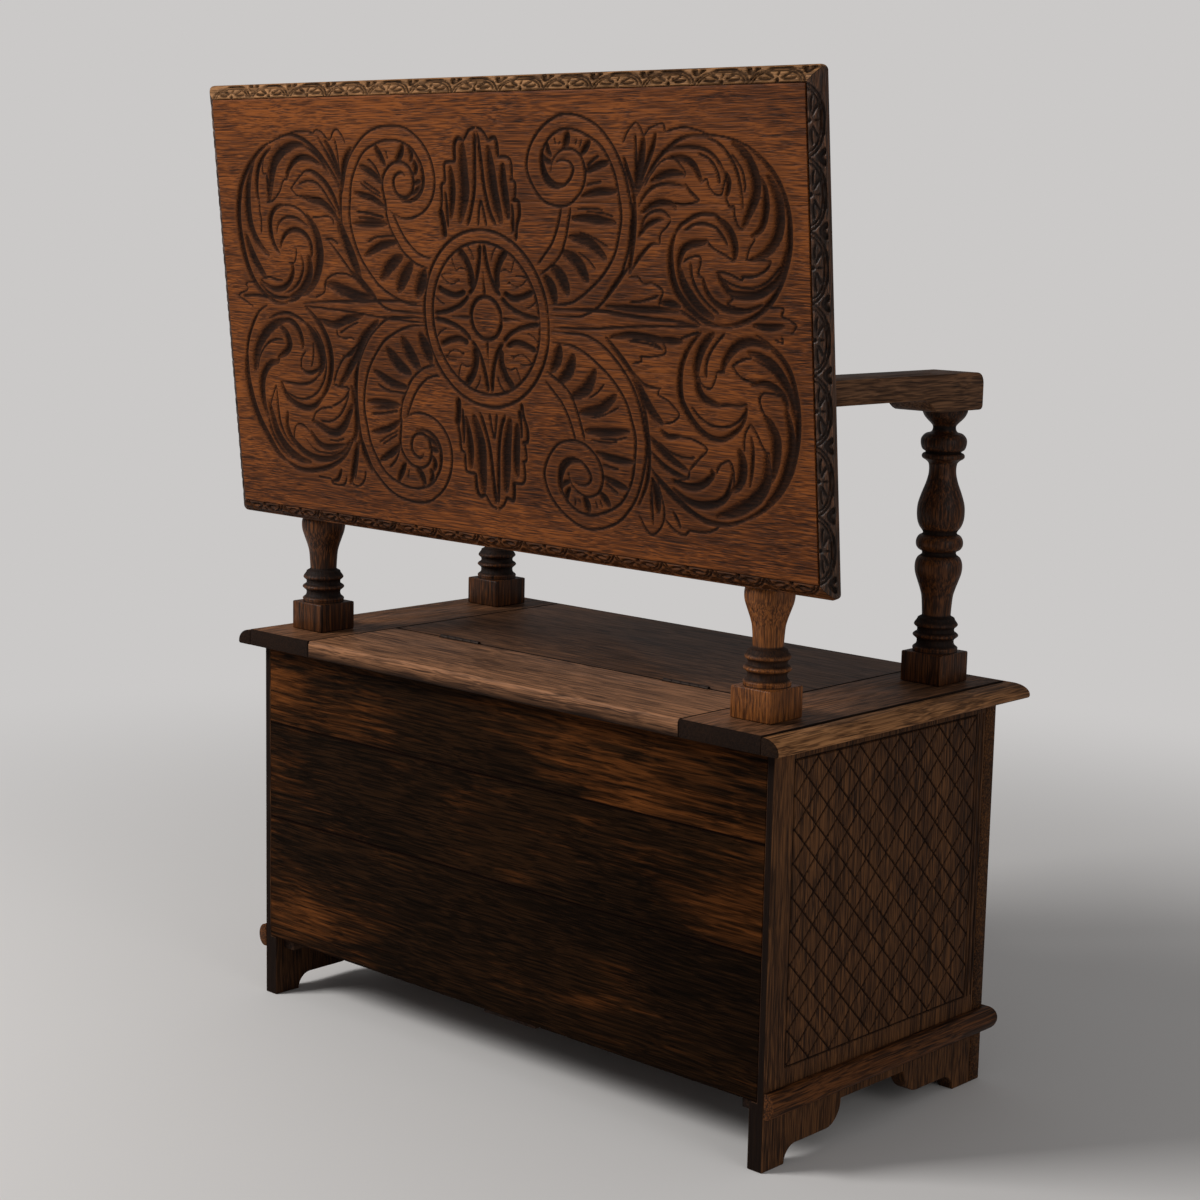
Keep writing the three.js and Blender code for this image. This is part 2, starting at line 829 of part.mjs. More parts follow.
// The peg's domed head, as shares of its radius and length.
const pegDomeShares = [
  [1, 0],
  [1, 0.5],
  [0.8, 0.85],
  [0.45, 1],
  [0, 1],
];

// Turned wooden pegs: a domed head outside the arm, and a shank through the arm and the batten's slot.
function addPegs() {
  const shankEnd = battenInnerX + pegTipGap;
  const headFace = armOuterX + glueGap;
  const length = headFace - shankEnd;
  const profile = [
    [0, -length],
    [pegRadius, -length],
    [pegRadius, 0],
    ...pegDomeShares.map(([radiusShare, lengthShare]) => [
      radiusShare * pegHeadRadius,
      lengthShare * pegHeadLength,
    ]),
  ];
  for (const [side, sign] of [["left", 1], ["right", -1]]) {
    const peg = turned(profile, roundSides);
    peg.rotateY((sign * Math.PI) / 2);
    const mesh = addPiece(bench, `pivot_peg_${side}`, peg, oakTurned);
    mesh.position.set(sign * headFace, pegY, pegZ);
  }
}

// A strip of the top's moulding with the top's four corners rounded, whose half length is given.
function roundedAtCorners(strip, halfLength) {
  const round = edgeMouldingCornerRadius;
  const waste = new THREE.Shape();
  waste.moveTo(round, 0);
  for (let i = 1; i <= cornerSteps; i += 1) {
    const angle = (i / cornerSteps) * (Math.PI / 2);
    waste.lineTo(round * Math.cos(angle), round * Math.sin(angle));
  }
  waste.lineTo(0, round * 2);
  waste.lineTo(round * 2, round * 2);
  waste.lineTo(round * 2, 0);
  const cutter = solidFrom(alongY(waste, -topThickness, topThickness * 2));
  const x = halfLength - round;
  const corners = [[0, x, topHeight - round], [90, x, round], [180, -x, round], [270, -x, topHeight - round]];
  let solid = strip;
  for (const [turn, cornerX, cornerZ] of corners) {
    solid = solid.subtract(cutter.rotate([0, turn, 0]).translate([cornerX, 0, cornerZ]));
  }
  return solid;
}

// The tilting top, drawn upright with its inner face at y = 0 and its lower edge at z = 0, then leant back.
function addTop() {
  const top = new THREE.Group();
  const half = topFaceLength / 2;
  const low = edgeMouldingWidth;
  const joints = [
    ["top_plank_lower", low, low + topLowerPlankHeight],
    ["top_plank_middle", low + topLowerPlankHeight, low + topFaceHeight - topUpperPlankHeight],
    ["top_plank_upper", low + topFaceHeight - topUpperPlankHeight, low + topFaceHeight],
  ];
  for (const [name, lowZ, highZ] of joints) {
    addPiece(top, name, board(-half, half, 0, topThickness, lowZ + glueGap, highZ), oakTop);
  }

  const profile = new THREE.Shape();
  const crest = topThickness - edgeMouldingQuirk;
  const edge = edgeMouldingWidth - edgeMouldingRound;
  profile.moveTo(glueGap, 0);
  profile.lineTo(edge, 0);
  profile.quadraticCurveTo(edgeMouldingWidth, 0, edgeMouldingWidth, edgeMouldingRound);
  profile.lineTo(edgeMouldingWidth, edgeMouldingOuterHeight - edgeMouldingRound);
  profile.quadraticCurveTo(
    edgeMouldingWidth,
    edgeMouldingOuterHeight,
    edge,
    edgeMouldingOuterHeight,
  );
  profile.quadraticCurveTo(edgeMouldingWidth / 2, crest, glueGap, crest);
  const rear = new THREE.Vector3(0, 1, 0);
  const lengthX = 2 * (half - glueGap);
  const lengthZ = topFaceHeight - glueGap;
  const strips = [
    ["edge_moulding_upper", lengthX, [half - glueGap, 0, low + topFaceHeight], [0, 0, 1]],
    ["edge_moulding_lower", lengthX, [-half + glueGap, 0, low + glueGap], [0, 0, -1]],
    ["edge_moulding_left", lengthZ, [half, 0, low + glueGap], [1, 0, 0]],
    ["edge_moulding_right", lengthZ, [-half, 0, low + topFaceHeight], [-1, 0, 0]],
  ];
  for (const [name, length, start, outward] of strips) {
    const straight = mouldingStrip(
      profile,
      length,
      1,
      1,
      new THREE.Vector3(...start),
      new THREE.Vector3(...outward),
      rear,
    );
    addPiece(top, name, roundedAtCorners(solidFrom(straight), half + low), oakTop);
  }

  // A batten with round lower corners and the slot that slides on the peg.
  const batten = new THREE.Shape();
  const front = -glueGap - battenDepth;
  const lowEnd = battenEndInset;
  const highEnd = topHeight - battenEndInset;
  batten.moveTo(-glueGap, lowEnd);
  batten.lineTo(-glueGap, highEnd);
  batten.lineTo(front + battenEndRadius, highEnd);
  const round = battenEndRadius;
  batten.absarc(front + round, highEnd - round, round, Math.PI / 2, Math.PI, false);
  batten.lineTo(front, lowEnd + round);
  batten.absarc(front + round, lowEnd + round, round, Math.PI, -Math.PI / 2, false);
  const slot = new THREE.Path();
  const slotRadius = pegRadius + slotPlay;
  slot.absarc(-pegFromFace, pegAboveLowerEdge, slotRadius, 0, Math.PI, false);
  slot.absarc(-pegFromFace, pegAboveLowerEdge - topTravel, slotRadius, Math.PI, Math.PI * 2, false);
  batten.holes.push(slot);
  for (const [side, sign] of [["left", 1], ["right", -1]]) {
    const faces = [sign * battenInnerX, sign * battenOuterX].sort((a, b) => a - b);
    addPiece(top, `top_batten_${side}`, alongX(batten, ...faces), oakTop);
  }

  top.position.set(0, topInnerY, topInnerZ);
  top.rotation.x = -topLean;
  bench.add(top);
}

addChest();
addBaseMoulding();
addSeat();
addLid();
addColumns();
addArms();
addPegs();
addTop();

// The origin is on the floor, in the middle of the bench's length and depth.
const quirkZ = topHeight - edgeMouldingWidth;
const rearmost = topInnerY + quirkZ * Math.sin(topLean) + topThickness * Math.cos(topLean);
bench.position.y = (seatDepth - rearmost) / 2;

const part = new THREE.Group();
part.add(bench);

export default part;
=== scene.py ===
import json
import math

import bmesh
import bpy
import numpy as np
from mathutils import Matrix, Vector

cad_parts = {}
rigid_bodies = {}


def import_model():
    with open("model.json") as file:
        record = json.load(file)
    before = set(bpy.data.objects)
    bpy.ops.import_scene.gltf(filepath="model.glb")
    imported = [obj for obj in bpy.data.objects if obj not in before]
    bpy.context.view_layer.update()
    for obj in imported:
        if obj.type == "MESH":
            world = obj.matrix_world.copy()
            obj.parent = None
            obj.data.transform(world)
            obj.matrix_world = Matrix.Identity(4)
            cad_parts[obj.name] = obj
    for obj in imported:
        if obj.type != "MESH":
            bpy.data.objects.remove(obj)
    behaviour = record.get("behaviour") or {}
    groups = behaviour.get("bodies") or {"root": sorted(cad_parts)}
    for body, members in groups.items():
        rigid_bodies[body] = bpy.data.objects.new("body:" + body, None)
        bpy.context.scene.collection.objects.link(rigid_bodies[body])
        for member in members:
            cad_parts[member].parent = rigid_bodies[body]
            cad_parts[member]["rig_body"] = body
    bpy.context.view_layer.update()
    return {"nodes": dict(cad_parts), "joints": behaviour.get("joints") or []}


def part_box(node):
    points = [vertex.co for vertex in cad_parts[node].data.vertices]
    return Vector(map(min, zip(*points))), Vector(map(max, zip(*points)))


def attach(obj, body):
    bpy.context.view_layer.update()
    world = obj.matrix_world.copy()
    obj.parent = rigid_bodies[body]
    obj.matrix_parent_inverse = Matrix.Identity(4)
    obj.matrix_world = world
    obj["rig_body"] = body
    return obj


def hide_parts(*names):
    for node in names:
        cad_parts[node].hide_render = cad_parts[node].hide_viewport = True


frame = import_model()

# Chest ends: two oak boards with upright grain, bracket feet sawn in the lower edge and a rebate behind
# for the back planks. A V tool has ruled a border on each face and a lattice inside it. The seat is
# screwed down on them.
millimetre = 0.001
bevel_steps = 2
bevel_angle = math.radians(40)  # arrises sharper than this are rounded
smooth_angle = math.radians(32)
merge_distance = 2e-6
flat_angle = math.radians(0.8)  # faces that meet at less than this become one
flat_tolerance = 1e-5
split_tolerance = 1e-7


def tone(text):
    """A colour written as the photograph shows it, as a shader wants it."""
    shares = [int(text[i : i + 2], 16) / 255 for i in (0, 2, 4)]
    return (*[s / 12.92 if s < 0.04045 else ((s + 0.055) / 1.055) ** 2.4 for s in shares], 1.0)


class Shade:
    """A shader socket that adds, subtracts, multiplies and divides like a number."""

    def __init__(self, tree, socket):
        self.tree, self.socket = tree, socket

    def node(self, kind, settings, inputs, output=0):
        """Another node of this tree: its settings are made first, and then its inputs."""
        made = self.tree.nodes.new(kind)
        for name, value in settings.items():
            setattr(made, name, value)
        for name, value in inputs.items():
            if isinstance(value, Shade):
                self.tree.links.new(value.socket, made.inputs[name])
            else:
                made.inputs[name].default_value = value
        return Shade(self.tree, made.outputs[output])

    def maths(self, operation, first, second):
        return self.node("ShaderNodeMath", {"operation": operation}, {0: first, 1: second})

    def __add__(self, other):
        return self.maths("ADD", self, other)

    def __radd__(self, other):
        return self.maths("ADD", other, self)

    def __sub__(self, other):
        return self.maths("SUBTRACT", self, other)

    def __rsub__(self, other):
        return self.maths("SUBTRACT", other, self)

    def __mul__(self, other):
        return self.maths("MULTIPLY", self, other)

    def __rmul__(self, other):
        return self.maths("MULTIPLY", other, self)

    def __truediv__(self, other):
        return self.maths("DIVIDE", self, other)

    def __rtruediv__(self, other):
        return self.maths("DIVIDE", other, self)

    def clipped(self):
        return self.maths("MINIMUM", self.maths("MAXIMUM", self, 0.0), 1.0)

    def smooth(self, low, high):
        """From 0 at low to 1 at high, with soft ends."""
        settings = {"interpolation_type": "SMOOTHSTEP"}
        return self.node("ShaderNodeMapRange", settings, {"Value": self, 1: low, 2: high})

    def times(self, triple):
        return self.node("ShaderNodeVectorMath", {"operation": "MULTIPLY"}, {0: self, 1: triple})

    def plus(self, other):
        return self.node("ShaderNodeVectorMath", {"operation": "ADD"}, {0: self, 1: other})

    def noise(self, scale, detail=2.0, output=0):
        inputs = {"Vector": self, "Scale": scale, "Detail": detail, "Roughness": 0.55}
        return self.node("ShaderNodeTexNoise", {}, inputs, output)

    def blend(self, low, high):
        """The colour that is low where this is 0 and high where it is 1."""
        return self.node("ShaderNodeMix", {"data_type": "RGBA"}, {0: self, 6: low, 7: high}, 2)


dirt_and_shade_colour = tone("140b07")
pore_strength = 0.62
painted_highlight_strength = 0.5
cut_strength = 0.96
grain_bump = 0.7 * millimetre


def wood(name, pale, middle, deep, grain, sheen=0.45, streaks=300, patch=None, seed=0.0, gloss=0.09):
    """Stained and waxed wood with its grain along one axis: slow bands, fine streaks, dark pores, a painted
    highlight where a piece is marked with one, and stain and dirt where a piece is marked as cut, which on
    some pieces is painted shade as well. A patch is (colour, share) for rubbed or stained places."""
    material = bpy.data.materials.new(name)
    material.use_nodes = True
    tree = material.node_tree
    shader = tree.nodes["Principled BSDF"]
    place = Shade(tree, tree.nodes.new("ShaderNodeTexCoord").outputs["Object"]).plus((seed, seed, seed))

    def stretched(share):
        scales = [1.0, 1.0, 1.0]
        scales[grain] = share
        return place.times(scales)

    wander = stretched(0.4).noise(17, 2, 1).times((0.007, 0.007, 0.007))
    drift = stretched(0.25).noise(9, 3)
    band = stretched(0.06).plus(wander).noise(streaks * 0.45, 2)
    streak = stretched(0.05).plus(wander).noise(streaks, 2)
    fine = stretched(0.035).plus(wander).noise(streaks * 2.4, 1)
    pore = stretched(0.06).plus(wander).noise(streaks * 0.95, 2).smooth(0.54, 0.63)
    light = (band - 0.5) * 0.5 + (streak - 0.5) * 1.9 + (drift - 0.5) * 1.5 + (fine - 0.5) * 1.6
    light = (light + 0.6).clipped()
    lower = (light * 2).clipped().blend(deep, middle)
    colour = (light * 2 - 1).clipped().blend(lower, pale)
    if patch:
        patch_colour, share = patch
        field = stretched(0.3).noise(9, 5) * 0.6 + stretched(0.05).plus(wander).noise(220, 3) * 0.4
        patchy = field.smooth(0.63 - share, 0.88 - share) * (0.35 + light * 0.65)
        colour = patchy.blend(colour, patch_colour)
    colour = (pore * pore_strength).blend(colour, deep)
    cut = place.node("ShaderNodeAttribute", {"attribute_name": "cut"}, {}, "Fac")
    painted_highlight = place.node("ShaderNodeAttribute", {"attribute_name": "painted_highlight"}, {}, "Fac")
    # Painted highlight: paler where a piece is marked with one, as between close cuts on the carved top.
    colour = (painted_highlight * painted_highlight_strength).blend(colour, pale)
    # Stain and dirt where a piece is marked as cut; on the top's face and the chest ends' inner faces that
    # mark is partly painted shade.
    colour = (cut * cut_strength).blend(colour, dirt_and_shade_colour)
    tree.links.new(colour.socket, shader.inputs["Base Color"])
    rough = (sheen + (1 - streak) * 0.16 + cut * 0.3).clipped()
    tree.links.new(rough.socket, shader.inputs["Roughness"])
    relief = streak * 0.6 + fine * 0.3 - pore * 0.7
    inputs = {"Strength": 0.5, "Distance": grain_bump, "Height": relief}
    bump = relief.node("ShaderNodeBump", {}, inputs, "Normal")
    tree.links.new(bump.socket, shader.inputs["Normal"])
    shader.inputs["Specular IOR Level"].default_value = gloss
    return material


def take_up(piece):
    """Makes a piece the only one that operators act on."""
    bpy.ops.object.select_all(action="DESELECT")
    bpy.context.view_layer.objects.active = piece
    piece.select_set(True)


def rounded(piece, radius, steps=bevel_steps):
    """Rounds a piece's arrises and shades it smooth."""
    take_up(piece)
    bevel = piece.modifiers.new("arris", "BEVEL")
    bevel.width = radius
    bevel.segments = steps
    bevel.limit_method = "ANGLE"
    bevel.angle_limit = bevel_angle
    bevel.use_clamp_overlap = False
    bpy.ops.object.modifier_apply(modifier="arris")
    bpy.ops.object.shade_smooth_by_angle(angle=smooth_angle)


def copied(node, radius):
    """A copy of a CAD node for a finished piece, merged first, with its arrises worn round."""
    piece = bpy.data.objects.new(f"{node}.made", frame["nodes"][node].data.copy())
    bpy.context.scene.collection.objects.link(piece)
    take_up(piece)
    bpy.ops.object.mode_set(mode="EDIT")
    bpy.ops.mesh.select_all(action="SELECT")
    bpy.ops.mesh.customdata_custom_splitnormals_clear()
    bpy.ops.mesh.remove_doubles(threshold=merge_distance)
    bpy.ops.mesh.dissolve_limited(angle_limit=flat_angle)
    bpy.ops.object.mode_set(mode="OBJECT")
    rounded(piece, radius)
    return piece


def stand_for(piece, node, material):
    """Gives a finished piece its material and its body, and hides the CAD node that it stands for."""
    piece.data.materials.clear()
    piece.data.materials.append(material)
    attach(piece, frame["nodes"][node]["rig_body"])
    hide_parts(node)
    return piece


def choose(piece, test):
    """Selects the faces that pass a test of their middle and normal, and nothing else."""
    bpy.ops.mesh.select_all(action="DESELECT")
    mesh = bmesh.from_edit_mesh(piece.data)
    for face in mesh.faces:
        if test(face.calc_center_median(), face.normal):
            face.select_set(True)
    bmesh.update_edit_mesh(piece.data)


def mark(piece, name, values):
    """Keeps a number for each vertex of a piece, for its material."""
    kept = piece.data.attributes.new(name, "FLOAT", "POINT")
    kept.data.foreach_set("value", np.asarray(values, np.float32))


seam_reach = 1.3 * millimetre  # how far dirt lies on each side of a joint
seam_fade = 0.5 * millimetre


def darken(piece, sides, fade=seam_fade):
    """Marks sides of a board, each (axis, place), where end grain has drunk stain or dirt has gathered in a
    joint. Without a fade the mark runs on to the next vertices."""
    middle = sum((vertex.co for vertex in piece.data.vertices), Vector()) / len(piece.data.vertices)
    if fade:
        take_up(piece)
        bpy.ops.object.mode_set(mode="EDIT")
        for axis, place in sides:
            normal = Vector([float(i == axis) for i in range(3)])
            inward = math.copysign(seam_reach + fade, middle[axis] - place)
            bpy.ops.mesh.select_all(action="SELECT")
            plane = normal * (place + inward)
            bpy.ops.mesh.bisect(plane_co=plane, plane_no=normal, threshold=split_tolerance)
        bpy.ops.object.mode_set(mode="OBJECT")
    points = [vertex.co for vertex in piece.data.vertices]
    marks = [any(abs(point[axis] - place) < seam_reach for axis, place in sides) for point in points]
    kept = piece.data.attributes.get("cut")
    if kept:
        marks = [max(item.value, value) for item, value in zip(kept.data, marks)]
        piece.data.attributes.remove(kept)
    mark(piece, "cut", marks)


stains = (tone("170e09"), 0.13)
chest_oak = wood("chest_oak", tone("6a4528"), tone("432a19"), tone("1b100a"), 2, 0.5, 420, stains)
lattice_rear = 33 * millimetre  # border line ahead of the board's rear edge
lattice_front = 348 * millimetre
lattice_low = 103 * millimetre
lattice_high = 419 * millimetre
lattice_pitch = 34.6 * millimetre
lattice_width = 3.4 * millimetre
lattice_depth = 1.5 * millimetre
lattice_smooth = math.radians(20)
facing = 0.99  # how much of a normal lies along an axis when its face is square to it
joint_rules = (5 * millimetre, 12 * millimetre)  # lines ruled beyond the lattice, towards the front


def lattice_lines(rear, bottom):
    """The V lines of one end face as (start, end, on the lattice), in Y and height."""
    front = rear - (lattice_front - lattice_rear)
    top = bottom + lattice_high - lattice_low
    lines = [
        ((rear, bottom), (rear, top), False),
        ((front, bottom), (front, top), False),
        ((rear, bottom), (front, bottom), False),
        ((rear, top), (front, top), False),
    ]
    lines += [((front - step, bottom), (front - step, top), False) for step in joint_rules]
    span = top - bottom
    for i in range(-int(span / lattice_pitch), int((rear - front) / lattice_pitch) + 1):
        start = rear - i * lattice_pitch
        lines.append(((start, top), (start - span, bottom), True))
        lines.append(((start, bottom), (start - span, top), True))
    return lines


inner_depth = 12 * millimetre  # the inner face is further in than this
# painted shade on the chest ends' inner faces, which lie in shade inside and beneath the chest
inner_painted_shade = 0.6


def rule_lattice(piece, face_x, sign):
    """Cuts the lattice in an end board's outer face with V lines, paints shade on the inner face and darkens
    the rear edge.
    """
    board_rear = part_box("end_board_left")[1].y
    rear, front = board_rear - lattice_rear, board_rear - lattice_front
    lines = lattice_lines(rear, lattice_low)
    take_up(piece)
    bpy.ops.object.mode_set(mode="EDIT")
    for start, end, inner in lines:
        along = Vector((0, end[0] - start[0], end[1] - start[1])).normalized()
        across = along.cross(Vector((1, 0, 0)))
        for side in (-0.5, 0, 0.5):

            def on_face(middle, normal):
                flat = abs(middle.x - face_x) < flat_tolerance and abs(normal.x) > facing
                inside = front < middle.y < rear and lattice_low < middle.z < lattice_high
                return flat and (inside or not inner)

            choose(piece, on_face)
            place = Vector((face_x, *start)) + across * side * lattice_width
            bpy.ops.mesh.bisect(plane_co=place, plane_no=across, threshold=split_tolerance)
    bpy.ops.object.mode_set(mode="OBJECT")
    cut = np.zeros(len(piece.data.vertices))
    for vertex in piece.data.vertices:
        y, z = vertex.co.y, vertex.co.z
        if abs(vertex.co.x) < abs(face_x) - inner_depth:
            cut[vertex.index] = inner_painted_shade
        if abs(y - board_rear) < flat_tolerance:
            cut[vertex.index] = 1
        if abs(vertex.co.x - face_x) > flat_tolerance:
            continue
        for start, end, inner in lines:
            run = math.hypot(end[0] - start[0], end[1] - start[1])
            along = ((end[0] - start[0]) / run, (end[1] - start[1]) / run)
            reach = (y - start[0]) * along[0] + (z - start[1]) * along[1]
            off = (y - start[0]) * along[1] - (z - start[1]) * along[0]
            inside = (
                front - flat_tolerance < y < rear + flat_tolerance
                and lattice_low - flat_tolerance < z < lattice_high + flat_tolerance
            )
            within = inside if inner else -flat_tolerance < reach < run + flat_tolerance
            if abs(off) < flat_tolerance and within:
                vertex.co.x = face_x - sign * lattice_depth
                cut[vertex.index] = 1
                break
    mark(piece, "cut", cut)
    bpy.ops.object.shade_smooth_by_angle(angle=lattice_smooth)


for side, sign in (("left", 1), ("right", -1)):
    node = f"end_board_{side}"
    piece = copied(node, 1.2 * millimetre)
    low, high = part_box(node)
    rule_lattice(piece, high.x if sign > 0 else low.x, sign)
    stand_for(piece, node, chest_oak)

# Front board: one oak board laid over the front edges of the ends and glued to them, with the same
# bracket feet. The sitter's side is out of the photograph, so it is left plain.
front_oak = wood("front_oak", tone("66401f"), tone("3f2614"), tone("180d06"), 0, 0.5, 420, seed=3.0)
stand_for(copied("front_board", 1.2 * millimetre), "front_board", front_oak)

# Back planks: three rough softwood planks nailed into the rebates, stained almost black, with rubbed
# orange places. The lowest stops above the floor.
plank_colours = (tone("29180b"), tone("170d06"), tone("0b0603"))
rubbed_colour = tone("75421d")
for name, share, seed in (("lower", 0.11, 0.4), ("middle", 0.14, 2.1), ("upper", 0.19, 3.8)):
    node = f"back_plank_{name}"
    rubbed = (rubbed_colour, share)
    pine = wood(f"back_pine_{name}", *plank_colours, 0, 0.65, 420, rubbed, seed=seed, gloss=0.02)
    piece = copied(node, 0.9 * millimetre)
    low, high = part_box(node)
    darken(piece, ((2, low.z), (2, high.z)))
    stand_for(piece, node, pine)

# Chest bottom: two softwood boards on cleats nailed inside the ends, tied by a batten underneath. The
# batten's end shows below the back planks.
bottom_pine = wood("bottom_pine", tone("4a3122"), tone("33211a"), tone("1a110d"), 0, 0.62, 130)
batten_pine = wood("bottom_batten_pine", tone("3c281c"), tone("281a13"), tone("140d0a"), 1, 0.62, 130)
for node in ("bottom_board_front", "bottom_board_rear"):
    stand_for(copied(node, 0.6 * millimetre), node, bottom_pine)
for node in ("bottom_batten", "bottom_cleat_left", "bottom_cleat_right"):
    stand_for(copied(node, 0.8 * millimetre), node, batten_pine)

# Base moulding: a half-round oak moulding planted round the foot of the chest, mitred at the two front
# corners and sawn off square at the rear.
base_colours = (tone("643b1d"), tone("382010"), tone("150b05"))
base_end_oak = wood("base_oak", *base_colours, 1, 0.42, 420)
base_front_oak = wood("base_front_oak", *base_colours, 0, 0.42, 420)
for side, material in (("left", base_end_oak), ("right", base_end_oak), ("front", base_front_oak)):
    node = f"base_moulding_{side}"
    stand_for(copied(node, 0.5 * millimetre), node, material)

# Seat frame: an oak rail behind the lid, whose rear edge is worn rough and pale, between two end boards,
# with thumb moulding glued along the ends and the short lengths of the front.
rail_oak = wood("rail_oak", tone("9a6b4a"), tone("674630"), tone("2b190f"), 0, 0.47, 360)
end_oak = wood("seat_end_oak", tone("8f6040"), tone("5e402b"), tone("28180f"), 1, 0.47, 420, seed=0.8)
nosing_oak = wood("seat_nosing_oak", tone("ab784c"), tone("785030"), tone("342012"), 1, 0.47, 420, seed=0.3)
piece = copied("seat_rear_rail", 1.0 * millimetre)
low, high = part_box("seat_rear_rail")
darken(piece, ((0, low.x), (0, high.x), (1, low.y)))
# The underside too; with no fade the mark runs up the rail's faces, which grow darker towards the bottom.
darken(piece, ((2, low.z),), fade=0)
stand_for(piece, "seat_rear_rail", rail_oak)
for side in ("left", "right"):
    for part, radius, material in (("board", 1.0, end_oak), ("nosing", 0.7, nosing_oak)):
        node = f"seat_end_{part}_{side}"
        low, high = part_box(node)
        inner, outer = sorted((low.x, high.x), key=abs)
        dirty = [(0, inner), (1, high.y)]
        if part == "board":
            dirty.append((0, outer))
        piece = copied(node, radius * millimetre)
        darken(piece, dirty)
        stand_for(piece, node, material)
    node = f"seat_front_nosing_{side}"
    stand_for(copied(node, 0.5 * millimetre), node, rail_oak)

# Lid: one wide oak panel with its own length of the nosing, stiffened by two softwood battens screwed
# beneath and hung on the rail.
lid_oak = wood("lid_oak", tone("744e33"), tone("4f3320"), tone("27170d"), 0, 0.45, 380, seed=5.3)
piece = copied("lid_panel", 0.8 * millimetre)
low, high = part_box("lid_panel")
darken(piece, ((0, low.x), (0, high.x), (1, high.y)))
stand_for(piece, "lid_panel", lid_oak)
stand_for(copied("lid_nosing", 0.5 * millimetre), "lid_nosing", lid_oak)
for side in ("left", "right"):
    node = f"lid_batten_{side}"
    stand_for(copied(node, 1.5 * millimetre), node, batten_pine)

# Lid hinges: two iron butt hinges let into the joint of rail and lid, blackened, with five knuckles on
# a pin.


def blackened_iron():
    """Iron with a mottled black skin, rough and smooth by turns."""
    material = bpy.data.materials.new("black_iron")
    material.use_nodes = True
    tree = material.node_tree
    shader = tree.nodes["Principled BSDF"]
    mottle = Shade(tree, tree.nodes.new("ShaderNodeTexCoord").outputs["Object"]).noise(260, 4)
    tree.links.new(mottle.blend(tone("15110f"), tone("3a2d26")).socket, shader.inputs["Base Color"])
    tree.links.new((0.42 + mottle * 0.3).socket, shader.inputs["Roughness"])
    shader.inputs["Metallic"].default_value = 0.85
    return material


iron = blackened_iron()
for side in ("left", "right"):
    for part in ("fixed_leaf", "moving_leaf", "pin"):
        node = f"hinge_{part}_{side}"
        stand_for(copied(node, 0.15 * millimetre), node, iron)

# Columns: four, each turned from one square of oak whose foot is left as a block, with three rings, a
# vase, a bead, a second vase, a ring and a torus under the arm. Tenons hold them in seat and arm.
column_sides = 64
chamfer = 1.6 * millimetre
turned_step = 1.1 * millimetre
turned_merge = 5e-6
turned_smooth = math.radians(50)
block_reach = 1.2  # half widths of the block, beyond which an outline belongs to its corners
sunk_share = 0.25  # of that half width, by which the shaft goes into the block


def curve_through(points, step):
    """Places about every step along a smooth curve through some points, and how far along each one is."""
    ends = [points[0], *points, points[-1]]
    knots = np.array(ends, float)
    path = []
    for before, start, end, after in zip(knots, knots[1:], knots[2:], knots[3:]):
        count = max(2, int(np.hypot(*(end - start)) / step) + 1)
        t = np.linspace(0, 1, count, endpoint=False)[:, None]
        bend = 2 * before - 5 * start + 4 * end - after
        twist = 3 * start - before - 3 * end + after
        path.append((2 * start + (end - before) * t + bend * t**2 + twist * t**3) / 2)
    path = np.vstack([*path, knots[-1:]])
    reach = np.concatenate([[0], np.cumsum(np.hypot(*np.diff(path, axis=0).T))])
    return path, reach / reach[-1]


def node_profile(node, axis, centre, low, high):
    """The outline of a turned CAD node as (place along its axis, radius), between two places."""
    widest = {}
    for vertex in frame["nodes"][node].data.vertices:
        place = round(vertex.co[axis], 6)
        if low <= place <= high:
            off = vertex.co - Vector(centre)
            off[axis] = 0
            widest[place] = max(widest.get(place, 0.0), off.length)
    return sorted(widest.items())


def spun(name, profile, axis, centre):
    """A turned piece, spun from its outline about its axis."""
    out = [0, 0, 0]
    out[0 if axis == 2 else 1] = 1
    places = []
    for place, radius in profile:
        point = Vector(centre) + Vector(out) * radius
        point[axis] = place
        places.append(point)
    mesh = bpy.data.meshes.new(name)
    mesh.from_pydata(places, [(i, i + 1) for i in range(len(places) - 1)], [])
    piece = bpy.data.objects.new(name, mesh)
    bpy.context.scene.collection.objects.link(piece)
    take_up(piece)
    bpy.ops.object.mode_set(mode="EDIT")
    bpy.ops.mesh.select_all(action="SELECT")
    turn = [0, 0, 0]
    turn[axis] = 1
    bpy.ops.mesh.spin(steps=column_sides, angle=math.tau, center=centre, axis=turn)
    bpy.ops.mesh.select_all(action="SELECT")
    bpy.ops.mesh.remove_doubles(threshold=turned_merge)
    bpy.ops.mesh.normals_make_consistent(inside=False)
    bpy.ops.object.mode_set(mode="OBJECT")
    bpy.ops.object.shade_smooth_by_angle(angle=turned_smooth)
    return piece


groove_reach = 7 * millimetre  # from the middle of a groove to the swellings beside it
groove_depths = (0.6 * millimetre, 2.6 * millimetre)  # where dirt begins to stay, and where it is thickest
groove_dirt = 0.95
ring_zone = 0.155  # of the turned length, from the block up
ring_floor = 0.78  # radii of the grooves and crests there, as shares of the widest
ring_crest = 0.965
ring_power = 2.2  # how sharp the crests are
ring_fade = (0.87, 0.945)  # the dirt thins out between these shares of the widest
ring_dirt = 0.92
foot_dirt = 0.9  # where the lowest ring meets the block


